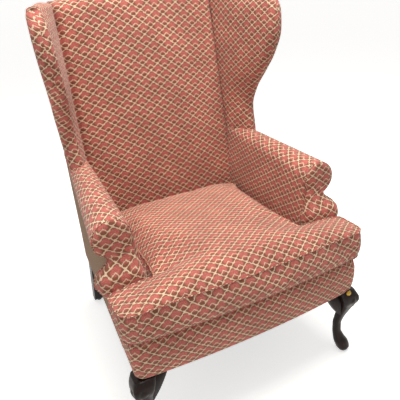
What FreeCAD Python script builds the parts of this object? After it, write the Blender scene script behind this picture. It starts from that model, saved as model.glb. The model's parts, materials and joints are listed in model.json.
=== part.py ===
"""Wingback armchair: hardwood frame, springs, padding, covers and a loose seat cushion.

Millimetres, +Z up. The chair faces -Y, and right means +X, as seen from the front.
The origin is on the floor under the middle of the chair's bounding box.
"""
import FreeCAD
import Part
import Sketcher
import math
import os
from FreeCAD import Placement, Rotation, Vector

doc = FreeCAD.newDocument("wingback_armchair")
sheet = doc.addObject("Spreadsheet::Sheet", "sizes")

SIZES = [
    # outside of the covered seat frame, in plan and in height
    ("front_half", 349), ("rear_half", 306), ("side_front", -335), ("frame_front", -360),
    ("frame_rear", 338), ("front_bow", 20), ("cover_bottom", 239), ("rail_bottom", 241),
    ("rail_height", 88), ("rail_thick", 28),
    # legs and back posts
    ("stump_size", 50), ("stump_x", 317), ("stump_y", -327), ("stump_top", 333),
    ("knee_top", 238), ("glide_height", 6), ("glide_radius", 9),
    ("post_inner", 262), ("post_width", 38), ("post_depth", 38), ("post_top", 1056),
    ("post_lean", 50), ("foot_front", 370), ("foot_rear", 405), ("foot_chamfer", 8),
    # back
    ("back_half", 262), ("back_top", 1122), ("back_arch", 18), ("back_crown", 16),
    ("back_face", 214), ("back_face_height", 471), ("back_slope", 0.151),
    ("pad_bottom", 348), ("crest_cover", 20), ("crest_lip", 6),
    # arms
    ("arm_front", -218), ("arm_inside", 252.5), ("arm_top", 618), ("arm_top_rear", 655),
    ("roll_front", 48), ("roll_rear", 22), ("roll_front_x", 320), ("roll_rear_x", 284),
    ("lip_front", -66), ("lip_rear", -18), ("arm_wall", 36),
    ("stump_depth", 30),
    # covers and padding
    ("cloth", 2.5), ("panel", 3), ("deck_drop", 0.6), ("border_top", 358),
    # seat cushion, in its own tilted frame with its front edge near the border
    ("seat_front", -382), ("seat_height", 361), ("ear_half", 375), ("seat_half", 247),
    ("ear_back", 120), ("seat_depth", 570), ("seat_bow", 23.4), ("boxing", 86), ("seat_crown", 34),
    ("cushion_wall", 3), ("zip_length", 420), ("zip_height", 10), ("zip_depth", 6),
]
for row, (alias, number) in enumerate(SIZES, start=1):
    sheet.set("A%d" % row, alias)
    sheet.set("B%d" % row, str(number))
    sheet.setAlias("B%d" % row, alias)
doc.recompute()

nodes = []


def size(alias):
    """A driving dimension, read from the sheet."""
    return float(getattr(sheet, alias))


def value(expression):
    """The number that an expression over the sheet's cells gives."""
    return float(sheet.evalExpression(expression))


def node(item, name):
    """Label an object as a sub-part of the chair."""
    item.Label = name
    nodes.append(item)
    return item


def feature(name, shape, placement=None):
    """A sub-part whose form is lofted or cut from the sheet's sizes."""
    item = doc.addObject("Part::Feature", name)
    item.Shape = shape
    item.Placement = placement or shape.Placement
    return node(item, name)


def mirrored(source, name):
    """The left-hand twin of a right-hand sub-part."""
    item = doc.addObject("Part::Mirroring", name)
    item.Source = source
    item.Normal = Vector(1, 0, 0)
    return node(item, name)


def origin_plane(body, role):
    """One of a body's own origin planes."""
    for item in body.Origin.OriginFeatures:
        if item.Role == role:
            return item
    raise ValueError(role)


def outline_body(name, role, corners, length, bulges=None, reverse=False):
    """A board: a closed outline of expression corners, padded. Bulges turn edges into arcs."""
    bulges = bulges or {}
    body = doc.addObject("PartDesign::Body", name)
    sketch = body.newObject("Sketcher::SketchObject", name + "_outline")
    sketch.AttachmentSupport = [(origin_plane(body, role), "")]
    sketch.MapMode = "FlatFace"
    points = [Vector(value(u), value(v), 0) for u, v in corners]
    count = len(points)
    ends = []
    for index, start in enumerate(points):
        stop = points[(index + 1) % count]
        if index in bulges:
            across = stop - start
            normal = Vector(across.y, -across.x, 0).normalize()
            middle = (start + stop) * 0.5 + normal * value(bulges[index])
            sketch.addGeometry(Part.Arc(start, middle, stop))
        else:
            sketch.addGeometry(Part.LineSegment(start, stop))
        forward = sketch.getPoint(index, 1).isEqual(start, 1e-6)
        ends.append((1, 2) if forward else (2, 1))
    for index in range(count):
        following = (index + 1) % count
        joint = (index, ends[index][1], following, ends[following][0])
        sketch.addConstraint(Sketcher.Constraint("Coincident", *joint))
    for index, (across, up) in enumerate(corners):
        corner = (-1, 1, index, ends[index][0])
        number = sketch.addConstraint(Sketcher.Constraint("DistanceX", *corner, points[index].x))
        sketch.setExpression("Constraints[%d]" % number, across)
        number = sketch.addConstraint(Sketcher.Constraint("DistanceY", *corner, points[index].y))
        sketch.setExpression("Constraints[%d]" % number, up)
    for index in bulges:
        radius = sketch.Geometry[index].Radius
        sketch.addConstraint(Sketcher.Constraint("Radius", index, radius))
    pad = body.newObject("PartDesign::Pad", name + "_pad")
    pad.Profile = sketch
    pad.setExpression("Length", length)
    pad.Reversed = reverse
    sketch.Visibility = False
    return body


def move(item, across="0", back="0", up="0"):
    """Place a sub-part by expressions over the sheet."""
    item.setExpression("Placement.Base.x", across)
    item.setExpression("Placement.Base.y", back)
    item.setExpression("Placement.Base.z", up)
    return item


def box_node(name, length, width, height, across, back, up):
    """A plain board whose sizes and place are bound to the sheet."""
    item = doc.addObject("Part::Box", name)
    item.setExpression("Length", length)
    item.setExpression("Width", width)
    item.setExpression("Height", height)
    return move(item, across, back, up)


def line(start, stop):
    return Part.LineSegment(start, stop).toShape()


def arc(start, middle, stop):
    return Part.Arc(start, middle, stop).toShape()


def closed(points):
    """A closed wire of straight lines."""
    return Part.makePolygon(list(points) + [points[0]])


def prism(points, direction):
    """A flat polygon pushed along a direction."""
    return Part.Face(closed(points)).extrude(direction)


def loft(wires, ruled=False):
    return Part.makeLoft(wires, True, ruled)


def block(low, high):
    """An upright box from its low corner to its high corner."""
    return Part.makeBox(high[0] - low[0], high[1] - low[1], high[2] - low[2], Vector(*low))


def largest(shape):
    """The largest solid of a cut."""
    return max(shape.Solids, key=lambda solid: solid.Volume)


def flipped(shape):
    """The same form on the other side of the chair."""
    return shape.mirror(Vector(0, 0, 0), Vector(1, 0, 0))


def side_x(back):
    """Outside of the covered seat frame at a distance back."""
    taper = (size("front_half") - size("rear_half")) / (size("frame_rear") - size("side_front"))
    return size("front_half") - (back - size("side_front")) * taper


def post_face(height):
    """Front face of the back posts at a height."""
    low = size("rail_bottom") + size("rail_height")
    lean = size("post_lean") / (size("post_top") - low)
    return size("frame_rear") - size("post_depth") + max(0.0, height - low) * lean


def back_edge(height):
    """Front face of the padded back at its sides."""
    return size("back_face") + (height - size("back_face_height")) * size("back_slope")


# Front legs: cabriole, with a square stump inside the seat frame.

LEG_STATIONS = [
    # height, throw along the diagonal, half width, corner radius
    (238, 16, 28, 12), (222, 24, 30, 14), (204, 29, 28, 14), (182, 25, 21, 12),
    (156, 16, 16, 11), (130, 6, 13.5, 11), (104, 0, 12.5, 11), (80, 0, 13, 12),
    (56, 6, 17, 16), (34, 15, 22, 21), (18, 20, 21, 20), (6, 22, 15, 14),
]


def rounded_square(centre, half, radius, height):
    """A level square with round corners, as a wire."""
    flat = half - radius
    edges = []
    for quarter in range(4):
        turn = Rotation(Vector(0, 0, 1), 90 * quarter)
        base = Vector(centre[0], centre[1], height)
        start = base + turn.multVec(Vector(half, -flat, 0))
        stop = base + turn.multVec(Vector(half, flat, 0))
        diagonal = flat + radius * math.sqrt(0.5)
        middle = base + turn.multVec(Vector(diagonal, diagonal, 0))
        after = base + turn.multVec(Vector(flat, half, 0))
        edges += [line(start, stop), arc(stop, middle, after)]
    return Part.Wire(edges)


def front_leg():
    """A cabriole leg swung out along the corner's diagonal, and its stump."""
    wires = []
    for height, throw, half, radius in LEG_STATIONS:
        shift = throw * math.sqrt(0.5)
        centre = (size("stump_x") + shift, size("stump_y") - shift)
        wires.append(rounded_square(centre, half, radius, height))
    half = size("stump_size") / 2
    low = (size("stump_x") - half, size("stump_y") - half, size("knee_top"))
    high = (size("stump_x") + half, size("stump_y") + half, size("stump_top"))
    leg = loft(wires[::-1]).fuse(block(low, high)).removeSplitter()
    return leg.Solids[0]


def knee_blocks():
    """Two brackets that carry the knee's curve up under the rails."""
    top = size("knee_top")
    reach = 59
    drop = 98
    thick = 24
    face = size("stump_size") / 2 - 4
    root = Vector(size("stump_x"), size("stump_y") - face, top)
    tip = root + Vector(-reach, 0, 0)
    foot = root + Vector(0, 0, -drop)
    hollow = root + Vector(-reach * 0.55, 0, -drop * 0.56)
    outline = Part.Wire([line(root, tip), arc(tip, hollow, foot), line(foot, root)])
    across = Part.Face(outline).extrude(Vector(0, thick, 0))
    root = Vector(size("stump_x") + face, size("stump_y"), top)
    tip = root + Vector(0, reach, 0)
    foot = root + Vector(0, 0, -drop)
    hollow = root + Vector(0, reach * 0.55, -drop * 0.56)
    outline = Part.Wire([line(root, tip), arc(tip, hollow, foot), line(foot, root)])
    along = Part.Face(outline).extrude(Vector(-thick, 0, 0))
    return across, along


leg_shape = front_leg()
feature("front_leg_right", leg_shape)
feature("front_leg_left", flipped(leg_shape))
blocks = Part.makeCompound([largest(bracket.cut(leg_shape)) for bracket in knee_blocks()])
feature("knee_blocks_right", blocks)
feature("knee_blocks_left", flipped(blocks))

# Back posts: each rear leg runs on up to the crest, cut from one board.

post = outline_body("rear_leg_right", "YZ_Plane", [
    ("sizes.foot_front + sizes.foot_chamfer", "sizes.glide_height"),
    ("sizes.foot_rear - sizes.foot_chamfer", "sizes.glide_height"),
    ("sizes.foot_rear", "sizes.glide_height + sizes.foot_chamfer"),
    ("sizes.frame_rear", "sizes.rail_bottom"),
    ("sizes.frame_rear", "sizes.rail_bottom + sizes.rail_height"),
    ("sizes.frame_rear + sizes.post_lean", "sizes.post_top"),
    ("sizes.frame_rear + sizes.post_lean - sizes.post_depth", "sizes.post_top"),
    ("sizes.frame_rear - sizes.post_depth", "sizes.rail_bottom + sizes.rail_height"),
    ("sizes.frame_rear - sizes.post_depth", "sizes.rail_bottom"),
    ("sizes.foot_front", "sizes.glide_height + sizes.foot_chamfer"),
], "sizes.post_width")
move(post, "sizes.post_inner")
node(post, "rear_leg_right")
mirrored(post, "rear_leg_left")

# Seat rails.

FRONT_WOOD = "sizes.frame_front + 13"
front_rail = outline_body("front_seat_rail", "XY_Plane", [
    ("-(sizes.stump_x - sizes.stump_size / 2)", FRONT_WOOD),
    ("sizes.stump_x - sizes.stump_size / 2", FRONT_WOOD),
    ("sizes.stump_x - sizes.stump_size / 2", FRONT_WOOD + " + sizes.rail_thick"),
    ("-(sizes.stump_x - sizes.stump_size / 2)", FRONT_WOOD + " + sizes.rail_thick"),
], "sizes.rail_height", bulges={0: "sizes.front_bow * 0.7", 2: "-sizes.front_bow * 0.7"})
move(front_rail, up="sizes.rail_bottom")
node(front_rail, "front_seat_rail")

back_rail = box_node("back_seat_rail", "2 * sizes.post_inner", "sizes.rail_thick",
                     "sizes.rail_height - 8", "-sizes.post_inner",
                     "sizes.frame_rear - sizes.rail_thick - 4", "sizes.rail_bottom")
node(back_rail, "back_seat_rail")

REAR_SLOPE = "(sizes.front_half - sizes.rear_half) / (sizes.frame_rear - sizes.side_front)"
SIDE_START = "sizes.stump_y + sizes.stump_size / 2"
SIDE_STOP = "sizes.frame_rear - sizes.post_depth"
SIDE_FRONT_X = ("sizes.front_half - 8 - (" + SIDE_START + " - sizes.side_front) * " + REAR_SLOPE)
SIDE_REAR_X = ("sizes.front_half - 8 - (" + SIDE_STOP + " - sizes.side_front) * " + REAR_SLOPE)
side_rail = outline_body("side_seat_rail_right", "XY_Plane", [
    (SIDE_FRONT_X, SIDE_START),
    (SIDE_REAR_X, SIDE_STOP),
    (SIDE_REAR_X + " - sizes.rail_thick", SIDE_STOP),
    (SIDE_FRONT_X + " - sizes.rail_thick", SIDE_START),
], "sizes.rail_height")
move(side_rail, up="sizes.rail_bottom")
node(side_rail, "side_seat_rail_right")
mirrored(side_rail, "side_seat_rail_left")
doc.recompute()


def corner_blocks():
    """Four glue blocks that brace the corners, below the springs."""
    low = size("rail_bottom")
    tall = 46
    reach = 62
    gap = 0.3
    front = size("frame_front") + 13 + size("rail_thick") + gap
    rear = size("frame_rear") - size("rail_thick") - 4 - gap
    stump = size("stump_x") - size("stump_size") / 2 - gap
    solids = []
    for side in (1, -1):
        stump_rear = size("stump_y") + size("stump_size") / 2 + gap
        inner = side_x(stump_rear + reach) - 8 - size("rail_thick") - gap
        corner = [
            (stump - reach, front), (stump, front), (stump, stump_rear),
            (inner, stump_rear), (inner, stump_rear + reach * 0.55),
        ]
        points = [Vector(side * across, back, low) for across, back in corner]
        solids.append(prism(points, Vector(0, 0, tall)))
        wall = size("post_inner") - gap
        corner = [(wall, rear), (wall - reach, rear), (wall, rear - reach)]
        points = [Vector(side * across, back, low) for across, back in corner]
        solids.append(prism(points, Vector(0, 0, tall)))
    return solids


def screw(start, direction, length):
    """A countersunk wood screw as a turned head, neck and shank."""
    head = Part.makeCone(3.8, 1.9, 3, start, direction)
    shank = Part.makeCylinder(1.9, length - 3, start + direction * 3, direction)
    return head.fuse(shank).removeSplitter()


def block_screws():
    """Two screws through every corner block, driven from its open side."""
    screws = []
    height = size("rail_bottom") + 23
    stump = size("stump_x") - size("stump_size") / 2
    wall = size("post_inner")
    rear = size("frame_rear") - size("rail_thick") - 4
    front = size("frame_front") + 13 + size("rail_thick")
    for side in (1, -1):
        at = Vector(side * (stump - 30), front + 30, height - 10)
        screws.append(screw(at, Vector(0, -1, 0), 42))
        at = Vector(side * (stump - 30), size("stump_y") + 12, height + 10)
        screws.append(screw(at, Vector(side, 0, 0), 42))
        at = Vector(side * (wall - 26), rear - 36, height - 10)
        screws.append(screw(at, Vector(0, 1, 0), 50))
        at = Vector(side * (wall - 36), rear - 26, height + 10)
        screws.append(screw(at, Vector(side, 0, 0), 50))
    return screws


screw_solids = block_screws()
screw_set = Part.makeCompound(screw_solids)
block_set = Part.makeCompound(corner_blocks()).cut(screw_set)
feature("corner_blocks", block_set)

# Upper frame.

tack_rail = box_node("back_tack_rail", "2 * sizes.post_inner", "22", "44", "-sizes.post_inner",
                     "sizes.frame_rear - sizes.post_depth + 12", "sizes.pad_bottom + 50")
node(tack_rail, "back_tack_rail")


def crest_rail():
    """The arched top board between the posts, leaning with them."""
    low = size("post_top") - 36
    half = size("post_inner")
    crest = size("back_top") - size("crest_cover") - 1
    edge = crest - size("back_arch")
    front = post_face(low)
    start = Vector(half, front, edge)
    stop = Vector(-half, front, edge)
    outline = Part.Wire([
        line(Vector(-half, front, low), Vector(half, front, low)),
        line(Vector(half, front, low), start),
        arc(start, Vector(0, front, crest), stop),
        line(stop, Vector(-half, front, low)),
    ])
    shape = Part.Face(outline).extrude(Vector(0, size("post_depth"), 0))
    rise = size("post_top") - size("rail_bottom") - size("rail_height")
    angle = math.degrees(math.atan2(size("post_lean"), rise))
    shape.rotate(Vector(0, front, low), Vector(1, 0, 0), -angle)
    return shape


crest_shape = crest_rail()
feature("crest_rail", crest_shape)


def roll_at(back):
    """Centre and radius of the padded arm roll at a distance back."""
    share = (back - size("arm_front")) / (size("frame_rear") - size("arm_front"))
    radius = size("roll_front") + (size("roll_rear") - size("roll_front")) * share
    across = size("roll_front_x") + (size("roll_rear_x") - size("roll_front_x")) * share
    top = size("arm_top") + (size("arm_top_rear") - size("arm_top")) * share
    return across, top - radius, radius


ROLL_TURN = 60


def lip_turn(back):
    """How far the roll's cloth turns under, in degrees: most in front, least at the wing."""
    share = (back - size("arm_front")) / (size("frame_rear") - size("arm_front"))
    return size("lip_front") + (size("lip_rear") - size("lip_front")) * share


def lip_height(back):
    """Height of the cloth's lip below the roll, where the outside panel starts."""
    across, height, radius = roll_at(back)
    return height + (radius + size("cloth")) * math.sin(math.radians(lip_turn(back)))


def arm_path(back, grow):
    """Inside face and roll of the arm, up from the deck, over, and in under the roll."""
    across, height, radius = roll_at(back)
    radius += grow
    foot = Vector(size("arm_inside") - grow, back, size("pad_bottom"))
    centre = Vector(across, back, height)
    reach = centre - foot
    slope = math.atan2(reach.z, reach.x) + math.asin(radius / reach.Length)
    under = lip_turn(back)

    def rim(degrees):
        turn = math.radians(degrees)
        return centre + Vector(math.cos(turn), 0, math.sin(turn)) * radius

    touch = math.degrees(slope) + 90
    edges = [
        line(foot, rim(touch)),
        arc(rim(touch), rim((touch + ROLL_TURN) / 2), rim(ROLL_TURN)),
        arc(rim(ROLL_TURN), rim((ROLL_TURN + under) / 2), rim(under)),
    ]
    return foot, rim(under), edges


def lip_point(back, turned):
    """Where the roll's cloth meets the outside panel, level with the end of the roll."""
    return Vector(side_x(back) - size("panel") - 0.2, back, turned.z)


def arm_pad_wire(back):
    """Padding section: a wall inside the arm and the roll on top, hollow below the roll."""
    foot, turned, edges = arm_path(back, 0)
    lip = lip_point(back, turned)
    wall = size("arm_inside") + size("arm_wall")
    corners = [turned, lip, Vector(wall, back, lip.z), Vector(wall, back, foot.z), foot]
    for start, stop in zip(corners, corners[1:]):
        edges.append(line(start, stop))
    return Part.Wire(edges)


def arm_cover_wire(back):
    """Cloth section: a thin band that follows the padding."""
    grow = size("cloth")
    foot, turned, inner = arm_path(back, 0)
    outer_foot, outer_turned, outer = arm_path(back, grow)
    inner.append(line(turned, lip_point(back, turned)))
    outer.append(line(outer_turned, lip_point(back, outer_turned)))
    closing = line(lip_point(back, outer_turned), lip_point(back, turned))
    return Part.Wire(outer + [closing] + inner[::-1] + [line(foot, outer_foot)])


def arm_envelope_wire(back):
    """Everything that belongs to the arm, filled, for trimming the back and wing to it."""
    foot, turned, edges = arm_path(back, size("cloth"))
    outer = side_x(back) + 40
    corners = [turned, Vector(outer, back, turned.z), Vector(outer, back, foot.z - 20),
               Vector(foot.x, back, foot.z - 20), foot]
    for start, stop in zip(corners, corners[1:]):
        edges.append(line(start, stop))
    return Part.Wire(edges)


ARM_REAR = size("frame_rear") - 2
arm_front = size("arm_front")
envelope = loft([arm_envelope_wire(arm_front), arm_envelope_wire(ARM_REAR)], True)


def arm_stump():
    """The front post of the arm: a board that fills the roll's end and narrows to the rail."""
    across, height, radius = roll_at(arm_front)
    radius -= 10
    foot = size("stump_top")
    inner = size("arm_inside") + 14
    outer = side_x(arm_front) - 10
    sweep = math.radians(-size("lip_front"))
    left = Vector(across - radius * math.cos(sweep), arm_front, height - radius * math.sin(sweep))
    narrow = side_x(arm_front) - size("panel") - 3
    right = Vector(min(across + radius * math.cos(sweep), narrow), arm_front, left.z)
    crown = Vector(across, arm_front, height + radius)
    west = Vector(across - radius, arm_front, height)
    east = Vector(across + radius, arm_front, height)
    outline = Part.Wire([
        line(Vector(inner, arm_front, foot), left),
        arc(left, west, crown),
        arc(crown, east, right),
        line(right, Vector(outer, arm_front, foot)),
        line(Vector(outer, arm_front, foot), Vector(inner, arm_front, foot)),
    ])
    return Part.Face(outline).extrude(Vector(0, size("stump_depth"), 0))


def arm_rail():
    """The board inside the roll, from the stump to the back post."""
    sections = []
    for back in (arm_front + size("stump_depth"), ARM_REAR):
        across, height, radius = roll_at(back)
        low = height - 14
        high = height + 10
        west = across - 15
        east = across + 15
        corners = [(west, low), (east, low), (east, high), (west, high)]
        sections.append(closed([Vector(x, back, z) for x, z in corners]))
    return loft(sections, True)


def arm_tack_rail():
    """The low board that the inside arm cover is tacked to."""
    sections = []
    for back in (arm_front + size("stump_depth"), ARM_REAR):
        west = size("arm_inside") + size("arm_wall") + 0.5
        corners = [(west, 372), (west + 13, 372), (west + 13, 410), (west, 410)]
        sections.append(closed([Vector(x, back, z) for x, z in corners]))
    return loft(sections, True)


stump_shape = arm_stump()
arm_rail_shape = largest(arm_rail().cut(post.Shape))
tack_shape = largest(arm_tack_rail().cut(post.Shape))
for name, shape in (("arm_stump", stump_shape), ("arm_rail", arm_rail_shape),
                    ("arm_tack_rail", tack_shape)):
    feature(name + "_right", shape)
    feature(name + "_left", flipped(shape))

pad_solid = loft([arm_pad_wire(arm_front), arm_pad_wire(ARM_REAR)], True)
corner_room = block((240, size("frame_rear") - size("post_depth") - 4, 340),
                    (size("post_inner") + 0.3, ARM_REAR + 4, 700))
behind = corner_room.fuse(post.Shape)
pad_solid = largest(pad_solid.cut(stump_shape).cut(arm_rail_shape).cut(behind))
feature("arm_pad_right", pad_solid)
feature("arm_pad_left", flipped(pad_solid))
cover_solid = loft([arm_cover_wire(arm_front), arm_cover_wire(ARM_REAR)], True)
cover_solid = largest(cover_solid.cut(behind))
feature("arm_cover_right", cover_solid)
feature("arm_cover_left", flipped(cover_solid))

# Arm fronts: a padded facing, round at the roll, narrow at the neck, full above the seat.

FACING_STATIONS = [
    # height, inner edge, outer edge, depth
    (358.4, 253, 342, 30), (392, 252, 350, 35), (430, 251, 369, 38), (455, 252, 375, 38),
    (478, 256, 371, 33), (498, 262, 352, 24), (512, 266, 340, 18), (523, 268, 338, 14),
    (534, 271, 354, 12),
]


def facing_wire(height, inner, outer, depth):
    """A level section of the facing: flat at the back, round in front."""
    gap = 0.2
    rear = arm_front - gap
    shoulder = min(8, (outer - inner) * 0.15)
    front = Vector((inner + outer) / 2, rear - depth, height)
    corners = [Vector(outer, rear, height), Vector(inner, rear, height),
               Vector(inner + shoulder, rear - depth * 0.7, height),
               Vector(outer - shoulder, rear - depth * 0.7, height)]
    return Part.Wire([line(corners[0], corners[1]), line(corners[1], corners[2]),
                      arc(corners[2], front, corners[3]), line(corners[3], corners[0])])


def arm_facing():
    """The front panel as a loft of level sections, ending in the round of the roll."""
    wires = [facing_wire(*station) for station in FACING_STATIONS]
    across, height, radius = roll_at(arm_front)
    radius += size("cloth")
    for degrees in (-25, 0, 30, 56, 77):
        turn = math.radians(degrees)
        half = radius * math.cos(turn)
        level = height + radius * math.sin(turn)
        wires.append(facing_wire(level, across - half, across + half, 12))
    return loft(wires)


facing = arm_facing()
feature("arm_front_panel_right", facing)
feature("arm_front_panel_left", flipped(facing))


def outside_arm_panel():
    """The flat outer side, from the seat rail to the neck under the roll."""
    thick = size("panel")
    low = size("cover_bottom")
    rear = size("frame_rear")
    front_x = side_x(arm_front)
    rear_x = side_x(rear)
    neck = lip_height(ARM_REAR) - 0.2
    lean = post_face(neck) + size("post_depth")
    outline = [
        Vector(front_x, arm_front, low), Vector(rear_x, rear, low),
        Vector(rear_x, rear, size("rail_bottom") + size("rail_height")),
        Vector(side_x(lean), lean, neck), Vector(side_x(ARM_REAR), ARM_REAR, neck),
        Vector(front_x, arm_front, lip_height(arm_front) - 0.2),
    ]
    return prism([point - Vector(thick, 0, 0) for point in outline], Vector(thick, 0, 0))


outside_arm = outside_arm_panel().cut(cover_solid).cut(pad_solid)
feature("outside_arm_panel_right", outside_arm)
feature("outside_arm_panel_left", flipped(outside_arm))

# Wings.

WING_STATIONS = [
    # height, front edge, outer side, thickness of the front roll
    (560, 128, 326, 40), (650, 138, 328, 40), (730, 154, 333, 42), (790, 134, 341, 44),
    (850, 90, 350, 45), (910, 50, 360, 46), (985, 26, 370, 46), (1045, 32, 373, 44),
    (1082, 56, 371, 38), (1103, 92, 361, 24),
]
WING_INNER = 265
WING_OUTER = 303


def wing_wire(height, front, outer, thick, grow, level):
    """A level section of the wing: a slab that widens to a round front roll."""
    inner = outer - thick
    rear = post_face(level) - 0.3
    crease = min(back_edge(height) + 8, rear - 12)
    slim = max(0.0, level - 1090) * 0.5
    roll = thick * 0.5
    a = Vector(WING_INNER + slim - grow, rear, level)
    b = Vector(WING_INNER + slim - grow, crease, level)
    c = Vector(inner - grow, front + roll, level)
    d = Vector((inner + outer) / 2, front - grow, level)
    e = Vector(outer + grow, front + roll, level)
    f = Vector(WING_OUTER - slim + grow, rear, level)
    return Part.Wire([line(a, b), line(b, c), arc(c, d, e), line(e, f), line(f, a)])


def wing_solid(grow):
    """The whole wing, grown by the cloth where that is asked."""
    wires = []
    for height, front, outer, thick in WING_STATIONS:
        last = height == WING_STATIONS[-1][0]
        level = height + (grow if last else 0)
        wires.append(wing_wire(height, front, outer, thick, grow, level))
    return loft(wires)


def wing_cap(grow):
    """The wing's rear end, carried back over the top of the post."""
    low = size("post_top") + 0.3
    high = WING_STATIONS[-1][0] + grow
    near = post_face(low) - 4
    far = post_face(high) + size("post_depth") + 0.3 + grow
    return block((WING_INNER - grow, near, low), (WING_OUTER + grow, far, high))


def wing_bar(inset_front, length, width, levels):
    """The curved front post of the wing, set back inside the roll."""
    wires = []
    for height, front, outer, thick in WING_STATIONS:
        if not levels[0] <= height <= levels[1]:
            continue
        middle = outer - thick / 2 - 3
        near = front + inset_front
        corners = [(middle - width / 2, near), (middle + width / 2, near),
                   (middle + width / 2 - 5, near + length), (middle - width / 2 - 5, near + length)]
        wires.append(closed([Vector(x, y, height) for x, y in corners]))
    return loft(wires)


def wing_top_rail(front_post):
    """The board from the wing's front post back to the back post."""
    low = 1020
    high = 1048
    rear = post_face(low) - 0.5
    start = 62
    corners = [Vector(341, start, low), Vector(361, start, low), Vector(297, rear, low),
               Vector(275, rear, low)]
    return prism(corners, Vector(0, 0, high - low)).cut(front_post)


wing_post_shape = wing_bar(14, 32, 22, (650, 1082))
wing_top_shape = wing_top_rail(wing_post_shape)
skin = size("cloth") - 0.1
wing_full = wing_solid(0).fuse(wing_cap(0))
wing_skin = wing_solid(skin).fuse(wing_cap(skin)).cut(wing_full).cut(envelope)
wing_pad_shape = wing_full.cut(envelope).cut(wing_post_shape).cut(wing_top_shape)


def outer_half():
    """The outer side of the wing, behind its front roll, for parting the outside panel."""
    wires = []
    for height, front, outer, thick in WING_STATIONS:
        near = front + thick * 0.9
        corners = [(outer - thick * 0.4, near), (outer + 60, near), (outer + 60, 420), (284, 420)]
        wires.append(closed([Vector(x, y, height) for x, y in corners]))
    top = closed([Vector(x, y, 1130) for x, y in corners])
    return loft(wires + [top], True)


def post_side_panel():
    """The strip of the outside wing panel that covers the side of the back post."""
    low = lip_height(ARM_REAR) + 20
    high = size("post_top") + 2
    near = WING_OUTER
    far = WING_OUTER + size("cloth") - 0.1
    deep = size("post_depth")
    corners = [(post_face(low) - 0.3, low), (post_face(low) + deep, low),
               (post_face(high) + deep, high), (post_face(high) - 0.3, high)]
    points = [Vector(near, y, z) for y, z in corners]
    return prism(points, Vector(far - near, 0, 0))


parting = outer_half()
wing_cover_shape = wing_skin.cut(parting)
outside_wing_shape = wing_skin.common(parting).fuse(post_side_panel())
outside_wing_shape = outside_wing_shape.removeSplitter().cut(envelope)


for name, shape in (("wing_post", wing_post_shape), ("wing_top_rail", wing_top_shape),
                    ("wing_pad", largest(wing_pad_shape)),
                    ("wing_cover", largest(wing_cover_shape)),
                    ("outside_wing_panel", largest(outside_wing_shape))):
    feature(name + "_right", shape)
    feature(name + "_left", flipped(shape))

# Inside back.


def back_path(across, grow):
    """Front face and rolled top of the back, from the seat up and over to the crest's rear."""
    share = 1 - (across / size("back_half")) ** 2
    low = size("pad_bottom")
    crown = size("back_crown") * share
    top = size("back_top") - size("back_arch") * (1 - share) + grow
    turn = top - 42 - grow
    rear = post_face(size("post_top")) + size("post_depth") + size("crest_lip") + grow

    def face(height, bulge):
        return Vector(across, back_edge(height) - bulge - grow, height)

    foot = face(low, 0)
    shoulder = face(turn, crown * 0.8)
    belly = face((low + turn) / 2, crown + 4)
    ridge = Vector(across, (shoulder.y + rear) / 2, top)
    front_mid = Vector(across, shoulder.y + (ridge.y - shoulder.y) * 0.29, top - 12)
    nape = Vector(across, rear, top - 50 - grow)
    rear_mid = Vector(across, rear - (rear - ridge.y) * 0.25, top - 9)
    edges = [arc(foot, belly, shoulder), arc(shoulder, front_mid, ridge),
             arc(ridge, rear_mid, nape)]
    return foot, nape, edges


def back_pad_wire(across):
    """Padding section: over the springs and webbing, and round the crest rail."""
    foot, nape, edges = back_path(across, 0)
    share = 1 - (across / size("back_half")) ** 2
    crest = size("back_top") - size("crest_cover") - size("back_arch") * (1 - share) + 0.5
    rear = post_face(crest) + size("post_depth") + 0.3
    hollow = 3.5
    low_rear = post_face(nape.z) + size("post_depth") + 0.3
    corners = [nape, Vector(across, low_rear, nape.z), Vector(across, rear, crest),
               Vector(across, post_face(crest) - hollow, crest),
               Vector(across, post_face(size("rail_bottom") + size("rail_height")) - hollow,
                      size("rail_bottom") + size("rail_height") + 20),
               foot]
    for start, stop in zip(corners, corners[1:]):
        edges.append(line(start, stop))
    return Part.Wire(edges)


def back_cover_wire(across):
    """Cloth section: a thin band in front of the padding and over the crest."""
    foot, nape, inner = back_path(across, 0)
    outer_foot, outer_nape, outer = back_path(across, size("cloth"))
    return Part.Wire(outer + [line(outer_nape, nape)] + inner[::-1] + [line(foot, outer_foot)])


BACK_STEPS = 6
stations = [size("back_half") * (2 * step / BACK_STEPS - 1) for step in range(BACK_STEPS + 1)]
arms = envelope.fuse(flipped(envelope))
back_pad_shape = loft([back_pad_wire(across) for across in stations]).cut(arms)
back_cover_shape = loft([back_cover_wire(across) for across in stations]).cut(arms)
feature("inside_back_pad", largest(back_pad_shape))
feature("inside_back_cover", largest(back_cover_shape))


def outside_back_panel():
    """The flat rear panel, upright at the seat and leaning with the posts above it."""
    thick = size("panel")
    half = WING_OUTER + size("cloth") - 0.1
    bend = size("rail_bottom") + size("rail_height")
    low = size("cover_bottom")
    high = size("back_top") - 55
    rear = size("frame_rear") + 0.3
    top = post_face(high) + size("post_depth") + 0.3
    profile = [(rear, low), (rear, bend), (top, high), (top + thick, high),
               (rear + thick, bend), (rear + thick, low)]
    panel = prism([Vector(-half, y, z) for y, z in profile], Vector(2 * half, 0, 0))
    edge = high - size("back_arch")
    start = Vector(half + 1, rear - 20, edge)
    stop = Vector(-half - 1, rear - 20, edge)
    arch = Part.Wire([
        arc(start, Vector(0, rear - 20, high), stop),
        line(stop, Vector(-half - 1, rear - 20, low - 1)),
        line(Vector(-half - 1, rear - 20, low - 1), Vector(half + 1, rear - 20, low - 1)),
        line(Vector(half + 1, rear - 20, low - 1), start),
    ])
    return panel.common(Part.Face(arch).extrude(Vector(0, 140, 0)))


feature("outside_back_panel", outside_back_panel())


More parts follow.
